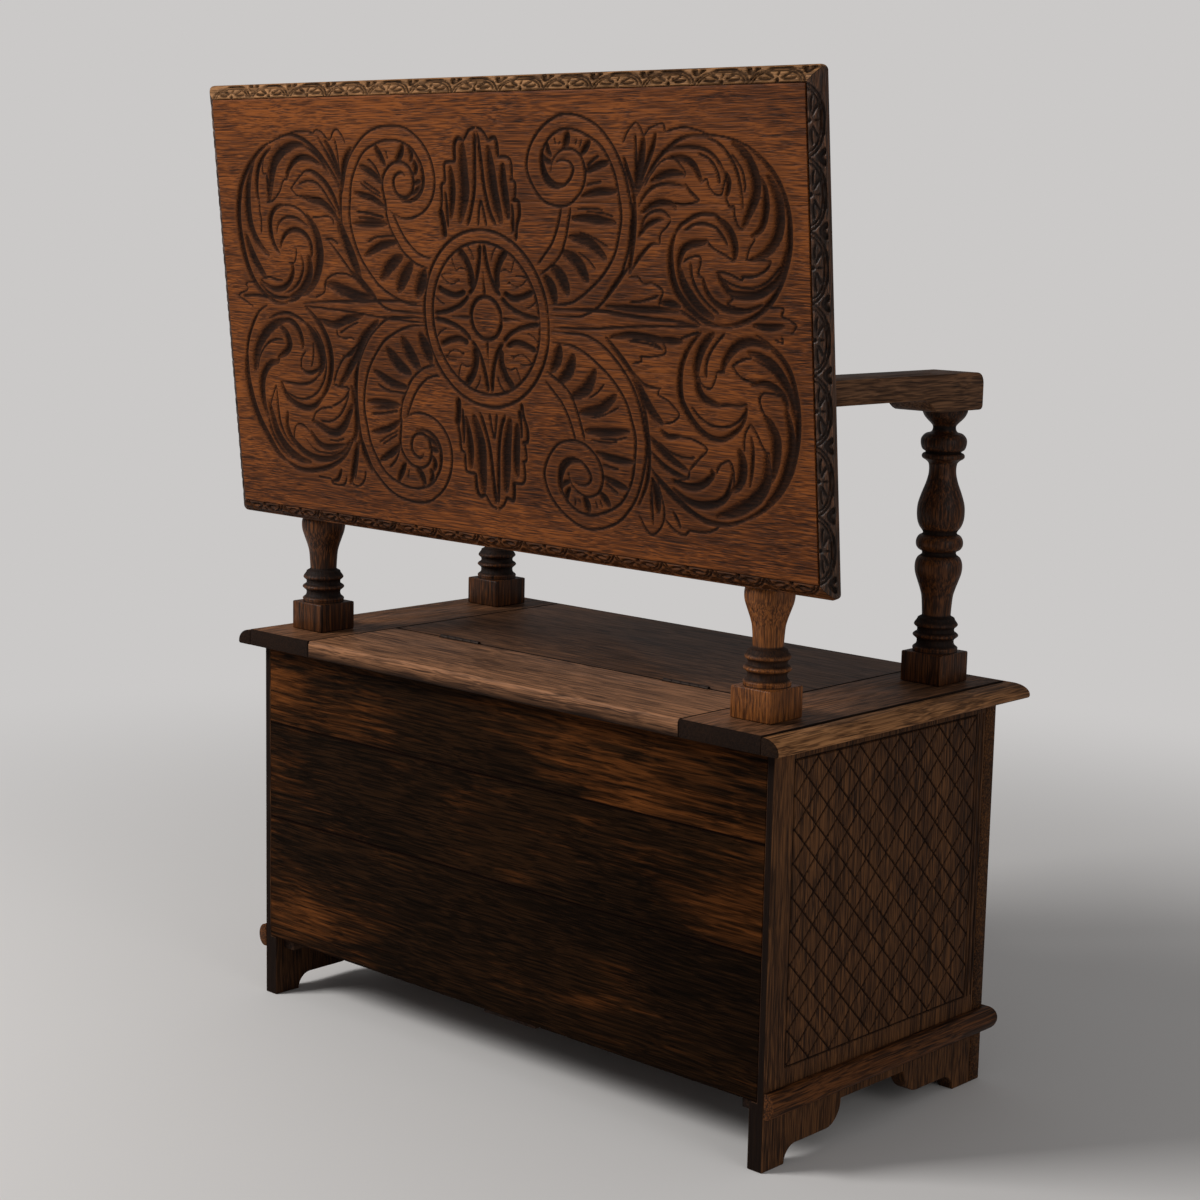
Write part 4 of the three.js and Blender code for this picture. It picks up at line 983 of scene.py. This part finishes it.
swirl_lower_right = (
    (24, ((400, -5), (350, 40), (310, 90), (280, 150), (268, 220), (272, 290), (300, 342), (340, 390),
          (390, 430), (440, 448), (490, 450), (540, 430), (590, 395), (622, 350), (637, 288))),
    (11, ((637, 286), (600, 297), (540, 298), (480, 305))),
    (30, ((490, 305), (430, 292), (390, 270), (370, 230), (378, 190))),
    (11, ((330, 320), (370, 360), (430, 390), (490, 397), (550, 385), (600, 355), (625, 320))),
    (34, ((470, -5), (420, 40), (385, 90), (365, 150), (362, 210))),
    (11, ((530, -5), (480, 40), (440, 90), (420, 140), (418, 190))),
    (8, ((370, 195), (400, 225), (435, 235), (460, 210), (478, 165))),
    (14, ((476, 162), (524, 158))),
    (34, ((508, 160), (522, 120), (552, 80), (600, 42), (660, 25), (720, 30), (762, 50))),
    (10, ((565, 130), (620, 102), (672, 90))),
    (38, ((655, 68), (720, 85), (780, 115), (820, 155), (850, 200), (880, 260), (898, 335))),
    (9, ((565, 130), (600, 170), (650, 190), (690, 195))),
    (26, ((668, 206), (730, 195), (790, 210), (832, 240), (858, 295))),
    (12, ((680, 100), (740, 120), (790, 150), (830, 190))),
    (26, ((700, -5), (760, 30), (820, 75), (865, 130), (890, 200), (905, 290), (905, 380), (890, 470),
          (860, 560), (810, 640), (750, 700), (680, 750), (600, 790))),
    (20, ((620, 782), (520, 815), (440, 820), (370, 810), (300, 780), (230, 735), (160, 680), (95, 625))),
    (9, ((830, 245), (780, 235), (730, 235), (708, 260), (715, 300), (740, 340))),
    (40, ((736, 335), (765, 370), (788, 420), (790, 470), (778, 540), (758, 605))),
    (34, ((848, 300), (868, 380), (868, 460), (845, 540), (815, 610), (770, 670), (728, 702))),
    (8, ((725, 490), (748, 488), (750, 540), (755, 600))),
    (9, ((655, 370), (625, 410), (615, 460), (615, 492))),
    (9, ((655, 370), (685, 410), (710, 455), (735, 495), (740, 540))),
    (15, ((640, 640), (655, 560), (662, 480), (655, 425))),
    (48, ((735, 505), (738, 580), (715, 640), (670, 690), (600, 735), (520, 770), (455, 788))),
    (38, ((588, 485), (604, 540), (598, 600), (576, 642), (536, 672))),
    (9, ((455, 600), (480, 560), (530, 540), (550, 580), (550, 640))),
    (12, ((545, 590), (530, 640), (500, 690), (450, 730))),
    (30, ((205, 688), (270, 730), (340, 745), (420, 740), (490, 710), (545, 655))),
    (30, ((428, 588), (436, 606), (400, 640), (350, 665), (290, 672), (240, 662), (205, 650))),
    (8, ((208, 655), (290, 635), (302, 600))),
    (9, ((150, 430), (200, 455), (270, 455), (340, 465), (407, 498), (360, 545), (300, 602))),
    (20, ((145, 435), (190, 460), (265, 450))),
    (30, ((78, 468), (140, 520), (210, 565), (292, 602))),
    (10, ((130, 490), (200, 530), (280, 545), (340, 540))),
    (22, ((82, 535), (150, 590), (220, 620), (295, 640))),
    (13, ((-5, 185), (50, 235), (110, 250), (162, 250))),
    (8, ((150, 255), (140, 280), (190, 300), (230, 330), (256, 362), (215, 395), (165, 405))),
    (40, ((15, 225), (60, 310), (110, 370), (158, 405))),
    (20, ((-5, 225), (30, 290), (55, 370), (65, 450), (70, 540), (65, 610), (50, 680), (20, 740),
          (-5, 785))),
    (16, ((75, 600), (120, 660), (180, 710), (250, 760), (320, 800))),
    (9, ((0, 830), (30, 880), (60, 905), (90, 900), (130, 860), (148, 800), (130, 720), (110, 660))),
    (12, ((75, 680), (75, 760), (80, 862))),
    (34, ((82, 655), (105, 720), (112, 805))),
    (9, ((150, 830), (190, 865), (230, 885), (265, 890), (290, 868), (350, 868), (410, 858), (465, 830))),
    (13, ((200, 790), (225, 830), (240, 860))),
    (9, ((150, 30), (190, 70), (185, 100), (120, 115), (50, 120), (50, 140), (-5, 152))),
    (30, ((155, 38), (220, 42), (288, 40))),
    (10, ((-5, 50), (60, 45), (120, 55), (170, 80))),
    (10, ((280, 30), (340, 10), (385, -5))),
    (7, ((800, 10), (840, 20), (835, -4))),
)
swirl_lower_left = (
    (15, ((240, -5), (170, 30), (110, 100), (65, 180), (42, 270), (38, 350))),
    (34, ((45, 240), (36, 350), (45, 430), (70, 520), (110, 600), (170, 680), (230, 750), (300, 795))),
    (22, ((270, 780), (380, 820), (460, 825), (540, 815), (620, 795), (700, 760), (760, 720), (810, 660),
          (850, 600))),
    (44, ((103, 335), (115, 270), (140, 210), (190, 155), (250, 110), (320, 78), (380, 65))),
    (26, ((340, 70), (390, 65), (435, 78), (470, 110), (492, 160), (495, 205))),
    (32, ((318, 92), (370, 130), (392, 180), (375, 215), (340, 237), (298, 256))),
    (34, ((302, 262), (285, 280), (245, 287), (200, 312), (165, 355), (148, 400), (145, 460), (155, 520),
          (182, 572))),
    (11, ((345, 165), (290, 165), (230, 185), (180, 220), (140, 270), (120, 330))),
    (15, ((250, 60), (310, 40), (380, 30), (450, 40), (520, 70), (570, 110))),
    (42, ((540, 80), (600, 150), (632, 220), (630, 280), (602, 328))),
    (15, ((610, 325), (560, 360), (500, 380), (430, 385), (360, 382), (305, 378))),
    (28, ((540, -5), (600, 40), (650, 90), (690, 160), (705, 240), (692, 320), (660, 390), (610, 450))),
    (28, ((625, 435), (550, 490), (480, 502), (410, 490), (350, 460), (320, 420), (302, 380))),
    (11, ((340, 430), (400, 455), (470, 460), (540, 440), (590, 410), (640, 350), (662, 280), (655, 200),
          (630, 140), (590, 90))),
    (8, ((575, 170), (575, 220), (560, 270), (548, 292))),
    (8, ((515, 215), (480, 250), (470, 300))),
    (18, ((468, 300), (510, 322), (570, 315), (622, 285))),
    (8, ((262, 400), (235, 445), (210, 490), (190, 540))),
    (42, ((195, 500), (215, 580), (240, 650), (290, 710), (350, 750), (420, 775), (490, 780))),
    (13, ((262, 405), (262, 480), (265, 560), (280, 620), (320, 680), (380, 720))),
    (13, ((180, 570), (200, 650), (250, 720), (320, 770))),
    (30, ((338, 535), (325, 600), (345, 660), (390, 700), (450, 735), (530, 755), (610, 755), (690, 735),
          (750, 700), (805, 645))),
    (8, ((395, 595), (375, 640), (372, 690))),
    (13, ((390, 600), (430, 590), (470, 605), (500, 625))),
    (30, ((510, 620), (545, 665), (590, 690), (650, 692), (720, 680), (765, 670))),
    (12, ((460, 660), (520, 710), (600, 725), (680, 715), (740, 690))),
    (8, ((530, 565), (555, 525), (600, 500), (650, 490), (690, 488))),
    (38, ((528, 568), (590, 590), (650, 612), (710, 610), (760, 580), (800, 530), (845, 460))),
    (10, ((590, 560), (660, 560), (730, 530), (780, 480), (820, 410))),
    (10, ((650, 655), (700, 655), (760, 640))),
    (10, ((690, 480), (740, 460), (790, 430), (825, 390))),
    (10, ((715, 370), (760, 380), (800, 378), (828, 386))),
    (38, ((755, 375), (800, 330), (850, 270), (900, 210), (970, 118), (1075, 38))),
    (9, ((715, 365), (740, 310), (785, 250), (830, 215), (890, 175), (940, 140))),
    (14, ((790, 225), (850, 215), (900, 170))),
    (8, ((765, 90), (770, 125), (820, 135), (870, 130), (890, 140))),
    (15, ((765, 90), (810, 70), (870, 50), (950, 30))),
    (10, ((790, 110), (850, 80), (930, 50))),
    (34, ((632, 48), (720, 70), (780, 65), (850, 40), (965, 18))),
    (22, ((970, 100), (930, 180), (900, 260), (880, 340), (870, 430), (872, 520), (880, 600), (900, 680),
          (940, 772))),
    (28, ((845, 370), (862, 460), (862, 560), (838, 648))),
    (9, ((905, 790), (895, 830), (860, 865), (815, 870), (790, 850))),
    (9, ((760, 830), (740, 870), (700, 880), (650, 875), (640, 855))),
    (26, ((855, 650), (830, 740), (800, 830), (785, 865))),
    (10, ((870, 640), (850, 740), (820, 840))),
    (18, ((725, 795), (690, 850), (645, 862))),
    (8, ((545, 848), (600, 852), (640, 852))),
    (28, ((878, 610), (910, 700), (955, 785))),
)
# Lines of the spears that lie along the middle, and the small leaf beyond the left volutes.
spears = (
    (5, ((98, 15), (150, 16), (170, 15.6), (200, 13), (230, 11), (260, 10), (294, 6.5))),
    (3, ((98, -4), (150, -2.5), (170, -1), (200, 1.6), (230, 3.4), (260, 5), (294, 6))),
    (9, ((172, 21), (210, 19.5), (240, 20), (268, 20))),
    (9, ((176, -10), (200, -6.5), (230, -8), (262, -12))),
    (3, ((200, -12), (225, -14), (246, -19))),
    (6, ((170, -10), (182, -22), (196, -36), (210, -52))),
    (6, ((170, 27), (182, 39), (194, 51), (204, 60))),
    (4.5, ((-97, 14), (-160, 13.6), (-190, 12), (-226, 10.4), (-260, 8.8), (-296, 5.5))),
    (3, ((-97, -8), (-170, -4.4), (-210, -1), (-250, 0.8), (-294, 3))),
    (10, ((-210, 44), (-198, 36), (-188, 27), (-172, 16))),
    (4, ((-358, 10), (-378, 12), (-402, 10))),
    (2.4, ((-380, 27), (-396, 25), (-394, 18), (-411, 11), (-398, 4), (-385, -2))),
)
flutes = (
    ((-225, 208), flutes_left),
    ((60, 214), flutes_right),
)
swirls = (
    ((-415, 208), swirl_upper_left),
    ((205, 208), swirl_upper_right),
    ((205, 0), swirl_lower_right),
    ((-415, 0), swirl_lower_left),
)


line_weight = 1.2  # how much wider than in the tables the strokes are cut
flute_weight = 1.4
swirl_weight = 1.65
flute_swell = 16  # wider strokes than this in the tables swell
plume_swell = 8
swirl_swell = 11
spear_swell = 4
rings = ((5, (-2, 0.5), 93), (4.5, (-2, 0.5), 80), (6.5, (-0.5, 1.5), 22.5))  # (width, centre, radius)
scroll_twins = ((0.99, -1.03), (1.03, -1.0))  # shares across and up from an upper stroke to its lower twin
plume_twin = (0.9, -1.02)


def mirrored(points, across, up):
    return [(across * a, up * b) for a, b in points]


def from_corner(points, corner):
    """Places on the face, from fine units across and down from a corner."""
    return [(corner[0] + a / fine_units, corner[1] - b / fine_units) for a, b in points]


def carve_face(relief):
    """Every stroke of the carved face."""
    for width, centre, radius in rings:
        relief.cut(width, ring(centre, radius))
    for across, up in ((0, 1), (0, -1), (1, 0), (-1, 0)):
        for width, points in arm_strokes:
            turned = [(a * up + b * across - 1, b * up + a * across + 1.5) for a, b in points]
            relief.cut(width, turned, wide_end=0.5)
    for across in (1, -1):
        for up in (1, -1):
            for width, points in quarter_strokes:
                relief.cut(width, [(a - 1, b + 1) for a, b in mirrored(points, across, up)])
    scrolls = zip((scroll_left, scroll_right), flutes, scroll_twins)
    for strokes, (corner, grooves), twin in scrolls:
        for width, points in strokes:
            relief.cut(width * line_weight, points)
            relief.cut(width * line_weight, mirrored(points, *twin))
        for width, points in grooves:
            places = from_corner(points, corner)
            bold = width * flute_weight / fine_units
            relief.cut(bold, places, swell=width > flute_swell)
            relief.cut(bold, mirrored(places, *twin), swell=width > flute_swell)
    for width, points in plume:
        relief.cut(width * line_weight, points, swell=width > plume_swell)
        relief.cut(width * line_weight, mirrored(points, *plume_twin), swell=width > plume_swell)
    for corner, strokes in swirls:
        for width, points in strokes:
            bold = width * swirl_weight / fine_units
            relief.cut(bold, from_corner(points, corner), swell=width > swirl_swell)
    for width, points in spears:
        relief.cut(width * line_weight, points, swell=width > spear_swell)


top_oak = wood("top_oak", tone("864a1e"), tone("582e12"), tone("241107"), 0, 0.45, 640)
face_out = spans("top_plank_lower", top_out)[1]
back_out = spans("top_plank_lower", top_out)[0]
face_middle = (spans("top_plank_lower", top_up)[0] + spans("top_plank_upper", top_up)[1]) / 2
half_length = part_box("top_plank_lower")[1].x


def begin_sheet(node, places):
    """A finished piece begun as a sheet through a grid of places, with its rim selected in edit mode."""
    rows, columns = places.shape[:2]
    bpy.ops.mesh.primitive_grid_add(x_subdivisions=columns - 1, y_subdivisions=rows - 1, size=1)
    piece = bpy.context.active_object
    piece.name = f"{node}.made"
    piece.data.vertices.foreach_set("co", places.reshape(-1))
    bpy.ops.object.mode_set(mode="EDIT")
    bpy.ops.mesh.select_all(action="DESELECT")
    bpy.ops.mesh.select_mode(type="EDGE")
    bpy.ops.mesh.select_non_manifold(extend=False)
    return piece


def end_sheet():
    """Turns the closed sheet's faces outward and leaves edit mode."""
    bpy.ops.mesh.select_mode(type="FACE")
    bpy.ops.mesh.select_all(action="SELECT")
    bpy.ops.mesh.normals_make_consistent(inside=False)
    bpy.ops.object.mode_set(mode="OBJECT")


def carved_plank(node):
    """A plank of the top: its face a carved sheet, and its edges and flat inner face drawn from the rim."""
    low, high = spans(node, top_up)
    across = np.linspace(-half_length, half_length, round(2 * half_length / millimetre / face_pitch))
    up = np.linspace(low, high, round((high - low) / millimetre / face_pitch))
    relief = Relief(across / millimetre, (up - face_middle) / millimetre)
    carve_face(relief)
    nearest = np.minimum(up - low, high - up)[:, None] / millimetre
    relief.depth = np.maximum(relief.depth, np.clip(plank_arris - nearest, 0, None) * plank_slope)
    depth = np.maximum(relief.depth * kept_depth, relief.softened(arris_wear))
    grid_across, grid_up = np.meshgrid(across, up)
    places = (
        grid_across[..., None] * np.array((-1.0, 0, 0))
        + grid_up[..., None] * np.array(top_up)
        + (face_out - depth * millimetre)[..., None] * np.array(top_out)
    )
    piece = begin_sheet(node, places)
    bpy.ops.mesh.extrude_edges_move(TRANSFORM_OT_translate={"value": top_out * (back_out - face_out)})
    bpy.ops.mesh.edge_face_add()
    end_sheet()
    for vertex in piece.data.vertices[depth.size :]:
        vertex.co += top_out * (back_out - vertex.co @ top_out)
    bpy.ops.object.shade_smooth_by_angle(angle=plank_smooth)
    rim = np.zeros(len(piece.data.vertices) - depth.size)
    # Painted shade: the face near the cuts darkened by their blurred depth. The cut mark holds both the
    # stain in the cuts and this painted shade.
    painted_shade = np.clip(relief.softened(painted_shade_spread) / painted_shade_depth, 0, 1) * painted_shade_strength
    stain = np.maximum(relief.stain * stain_strength, painted_shade)
    mark(piece, "cut", np.concatenate([stain.reshape(-1), rim]))
    # Painted highlight on what stands between close cuts, paler where the blurred depth lies deeper than the
    # face.
    crest_highlight = np.clip((relief.softened(highlight_spread) - depth) / highlight_height, 0, 1)
    mark(piece, "painted_highlight", np.concatenate([crest_highlight.reshape(-1), rim]))
    return piece


for node in ("top_plank_lower", "top_plank_middle", "top_plank_upper"):
    stand_for(carved_plank(node), node, top_oak)

# Edge moulding: four strips of oak mitred round the top, with a run of arches carved along them, a leaf
# in each arch, glued against the planks' edges.
strip_pitch = 1.15 * millimetre
strip_corner = 8 * millimetre  # the mitred corners are worn to this radius
unit_length = 68  # millimetres of moulding for one arch
arch_rise = 1.25  # how much taller than in the table the arches are cut
arch_weight = 1.8
arch_depth = 1.4  # millimetres, and what each millimetre of width in the table adds
arch_depth_share = 0.45
sheet_girth = 22  # millimetres round the moulding, from its inner upper corner
carved_girth = 18.5  # what lies further round is left plain
girth_step = 0.5
inner_arris = 1.4
strip_smooth = math.radians(50)
strip_dirt_depths = (0.1, 1.8)  # millimetres where dirt begins to stay, and where it is thickest
strip_dirt = 0.85
# One arch of the moulding as (width, points), across in shares of the arch and up in millimetres.
arch_strokes = (
    (1.9, ((0.0, 0.5), (0.05, 5), (0.15, 9.5), (0.32, 12.6), (0.5, 13.6), (0.68, 12.6), (0.85, 9.5),
           (0.95, 5), (1.0, 0.5))),
    (1.7, ((0.07, 0.8), (0.11, 4.5), (0.2, 8), (0.35, 10.4), (0.5, 11), (0.65, 10.4), (0.8, 8),
           (0.89, 4.5), (0.93, 0.8))),
    (3.6, ((-0.1, 14.2), (0, 9.5), (0.1, 14.2))),
    (3.2, ((0.5, 0.6), (0.5, 3.4))),
    (2.4, ((0.43, 4.2), (0.36, 6.4), (0.28, 8.6))),
    (2.4, ((0.57, 4.2), (0.64, 6.4), (0.72, 8.6))),
    (2.0, ((0.38, 3.6), (0.27, 3.4), (0.17, 4.6))),
    (2.0, ((0.62, 3.6), (0.73, 3.4), (0.83, 4.6))),
    (1.8, ((0.5, 5.4), (0.5, 10))),
)


def strip_profile(node, outward):
    """The moulding's outline as (out from the planks, height), from its inner upper corner round."""
    base, _ = spans(node, outward)
    points = set()
    for vertex in frame["nodes"][node].data.vertices:
        points.add((round(vertex.co @ outward - base, 6), round(vertex.co @ top_out - back_out, 6)))
    outer = max(p[0] for p in points)
    middle = (outer / 2, max(p[1] for p in points) / 3)
    start = min(points, key=lambda p: (p[0], -p[1]))

    def turned(p):
        first = math.atan2(start[1] - middle[1], start[0] - middle[0])
        return (first - math.atan2(p[1] - middle[1], p[0] - middle[0])) % math.tau

    return sorted(points, key=turned), base


def walked(corners):
    """An outline through some corners, with a point about every pitch."""
    outline = [corners[0]]
    for start, end in zip(corners, corners[1:]):
        count = max(1, round(math.dist(start, end) / strip_pitch))
        for i in range(1, count + 1):
            share = i / count
            outline.append((start[0] + (end[0] - start[0]) * share, start[1] + (end[1] - start[1]) * share))
    return np.array(outline)


def strip_ends(run, outer):
    """Where a strip begins and ends along its run, from point to point of its mitres."""
    if abs(run.x) > 0.5:
        return -half_length - outer, half_length + outer
    ends = (spans("top_plank_lower", top_up)[0] - outer, spans("top_plank_upper", top_up)[1] + outer)
    return sorted(end * run.dot(top_up) for end in ends)


def arches(low, high, outer):
    """The carving of one strip, on a grid of places along it and round it."""
    along = np.linspace(low, high, round((high - low) / strip_pitch)) / millimetre
    relief = Relief(along, np.arange(0, sheet_girth, girth_step))
    length = (high - low - 2 * outer) / millimetre
    units = round(length / unit_length)
    for i in range(units):
        begin = (low + outer) / millimetre + i * length / units
        for width, points in arch_strokes:
            places = [(begin + a * length / units, b * arch_rise) for a, b in points]
            relief.cut(width * arch_weight, places, arch_depth + arch_depth_share * width)
    return relief


def moulded_strip(node, outward):
    """A strip of the moulding: a sheet drawn from the CAD node's outline along its run, carved, with its
    mitred ends worn to the corners' radius."""
    run = top_out.cross(outward)
    corners, base = strip_profile(node, outward)
    outer = max(p[0] for p in corners)
    low, high = strip_ends(run, outer)
    outline = walked(corners)
    girth = np.concatenate([[0], np.cumsum(np.hypot(*np.diff(outline, axis=0).T))]) / millimetre
    slope = np.gradient(outline, axis=0)
    normal = np.stack([slope[:, 1], -slope[:, 0]], 1)
    normal /= np.hypot(*normal.T)[:, None]
    relief = arches(low, high, outer)
    share = np.linspace(0, 1, len(relief.across))
    inset = (outer - outline[:, 0])[None, :]
    reach = (low + inset) + (high - low - 2 * inset) * share[:, None]
    rows = np.clip(np.round(girth / girth_step).astype(int), 0, len(relief.up) - 1)
    depth = np.zeros_like(reach)
    for j, row in enumerate(rows):
        if girth[j] <= carved_girth:
            depth[:, j] = np.interp(reach[:, j] / millimetre, relief.across, relief.depth[row])
    depth = np.maximum(depth, np.clip(inner_arris - girth, 0, None)[None, :])
    outs = outline[:, 0][None, :] + normal[:, 0][None, :] * depth * millimetre
    highs = outline[:, 1][None, :] + normal[:, 1][None, :] * depth * millimetre
    for end, side in ((low, -1), (high, 1)):
        beyond = (outs - outer + strip_corner, side * (reach - end) + strip_corner)
        off = np.hypot(*beyond)
        square = (beyond[0] > 0) & (beyond[1] > 0) & (off > strip_corner)
        pull = np.where(square, strip_corner / np.maximum(off, strip_corner), 1) - 1
        outs = outs + beyond[0] * pull
        reach = reach + side * beyond[1] * pull
    places = (
        reach[..., None] * np.array(run)
        + (base + outs)[..., None] * np.array(outward)
        + (back_out + highs)[..., None] * np.array(top_out)
    )
    piece = begin_sheet(node, places)
    bpy.ops.mesh.fill_holes(sides=0)
    end_sheet()
    bpy.ops.object.shade_smooth_by_angle(angle=strip_smooth)
    mark(piece, "cut", np.interp(depth, strip_dirt_depths, (0, strip_dirt)).reshape(-1))
    return piece


# The four strips are one oak in three tones: the upper strip paler, partly for wax wear and partly as
# painted light from above, and the end strips and the lower one darker with painted shade.
wax_worn_and_lit_oak = wood("moulding_wax_worn_and_lit_oak", tone("a8794f"), tone("7b5634"), tone("3b2616"), 0, 0.48, 500)
shaded_end_colours = (tone("63402a"), tone("3c2718"), tone("180e07"))
shaded_end_oak = wood("moulding_shaded_end_oak", *shaded_end_colours, 2, 0.36, 500, gloss=0.3)
shaded_lower_oak = wood("moulding_shaded_lower_oak", tone("6b3d1b"), tone("412410"), tone("1a0e06"), 0, 0.45, 500)
strips = (
    ("edge_moulding_upper", top_up, wax_worn_and_lit_oak),
    ("edge_moulding_lower", -top_up, shaded_lower_oak),
    ("edge_moulding_left", Vector((1, 0, 0)), shaded_end_oak),
    ("edge_moulding_right", Vector((-1, 0, 0)), shaded_end_oak),
)
for node, outward, material in strips:
    stand_for(moulded_strip(node, outward), node, material)

# Battens: two upright oak battens screwed to the inner face of the top, each with the long slot that
# slides on its peg.
batten_oak = wood("top_batten_oak", tone("7d4d29"), tone("512f18"), tone("281609"), 2, 0.47, 420)
for side in ("left", "right"):
    node = f"top_batten_{side}"
    stand_for(copied(node, 1.0 * millimetre), node, batten_oak)

# Floor: one flat sheet of pale paper beneath the bench, which isn't part of it; far off it fades into the
# backdrop's colour.
sweep_size = 14.0
bpy.ops.mesh.primitive_plane_add(size=sweep_size, location=(0, 0, 0))
floor = bpy.context.active_object
floor.name = "floor"
backdrop_colour = tone("cbc9c8")
haze_reach = (0.75, 2.2)  # metres from the middle over which the floor turns into the backdrop


def pale_paper():
    """Matt paper that fades into the backdrop's colour, for the camera alone."""
    material = bpy.data.materials.new("paper")
    material.use_nodes = True
    tree = material.node_tree
    shader = tree.nodes["Principled BSDF"]
    shader.inputs["Base Color"].default_value = tone("e4e1de")
    shader.inputs["Roughness"].default_value = 0.9
    shader.inputs["Specular IOR Level"].default_value = 0.1
    haze = tree.nodes.new("ShaderNodeEmission")
    haze.inputs["Color"].default_value = backdrop_colour
    place = Shade(tree, tree.nodes.new("ShaderNodeTexCoord").outputs["Object"])
    distance = place.node("ShaderNodeVectorMath", {"operation": "LENGTH"}, {0: place}, "Value")
    seen = place.node("ShaderNodeLightPath", {}, {}, "Is Camera Ray")
    fade = distance.smooth(*haze_reach) * seen
    mix = tree.nodes.new("ShaderNodeMixShader")
    tree.links.new(fade.socket, mix.inputs[0])
    tree.links.new(shader.outputs[0], mix.inputs[1])
    tree.links.new(haze.outputs[0], mix.inputs[2])
    tree.links.new(mix.outputs[0], tree.nodes["Material Output"].inputs["Surface"])
    return material


floor.data.materials.append(pale_paper())

# Lights and camera: a broad soft key from the camera's left, a weak fill from its right and a pale
# world. The camera stands where the photograph was taken, behind the bench's right end.
world_colour = tone("e6e6e8")
world_strength = 0.28
world = bpy.data.worlds.new("studio")
bpy.context.scene.world = world
world.use_nodes = True
world_tree = world.node_tree
backdrop = world_tree.nodes["Background"]
backdrop.inputs["Color"].default_value = world_colour
backdrop.inputs["Strength"].default_value = world_strength
shown = world_tree.nodes.new("ShaderNodeBackground")
shown.inputs["Color"].default_value = backdrop_colour
mixed = world_tree.nodes.new("ShaderNodeMixShader")
rays = world_tree.nodes.new("ShaderNodeLightPath")
world_tree.links.new(rays.outputs["Is Camera Ray"], mixed.inputs[0])
world_tree.links.new(backdrop.outputs[0], mixed.inputs[1])
world_tree.links.new(shown.outputs[0], mixed.inputs[2])
world_tree.links.new(mixed.outputs[0], world_tree.nodes["World Output"].inputs["Surface"])


def soft_light(name, place, aim, size, power):
    """A square area light that points at a place."""
    light = bpy.data.lights.new(name, "AREA")
    light.size = size
    light.energy = power
    lamp = bpy.data.objects.new(name, light)
    bpy.context.scene.collection.objects.link(lamp)
    lamp.location = place
    lamp.rotation_euler = (Vector(aim) - Vector(place)).to_track_quat("-Z", "Y").to_euler()


aim = (0, 0.1, 0.6)
key_place = (1.9, 2.6, 2.6)
key_size = 1.3
key_watts = 105
fill_place = (-3.4, 0.4, 1.4)
fill_size = 2.0
fill_watts = 16
soft_light("key", key_place, aim, key_size, key_watts)
soft_light("fill", fill_place, aim, fill_size, fill_watts)

camera_place = Vector((-1.7723, 1.9376, 0.9384))
camera_azimuth = math.radians(222.777)
camera_height = math.radians(9.2156)
camera_roll = math.radians(1.1963)
camera_lens = 70.46  # millimetres, on a sensor of the width below
camera_sensor = 36.0
back = Vector(
    (
        math.sin(camera_azimuth) * math.cos(camera_height),
        -math.cos(camera_azimuth) * math.cos(camera_height),
        math.sin(camera_height),
    )
)
level = Vector((0, 0, 1)).cross(back).normalized()
upright = back.cross(level)
right = level * math.cos(camera_roll) + upright * math.sin(camera_roll)
above = upright * math.cos(camera_roll) - level * math.sin(camera_roll)
camera = bpy.data.objects.new("camera", bpy.data.cameras.new("camera"))
bpy.context.scene.collection.objects.link(camera)
camera.data.lens = camera_lens
camera.data.sensor_width = camera_sensor
turn = Matrix((right, above, back)).transposed().to_4x4()
camera.matrix_world = Matrix.Translation(camera_place) @ turn
bpy.context.scene.camera = camera
bpy.context.scene.view_settings.view_transform = "Standard"
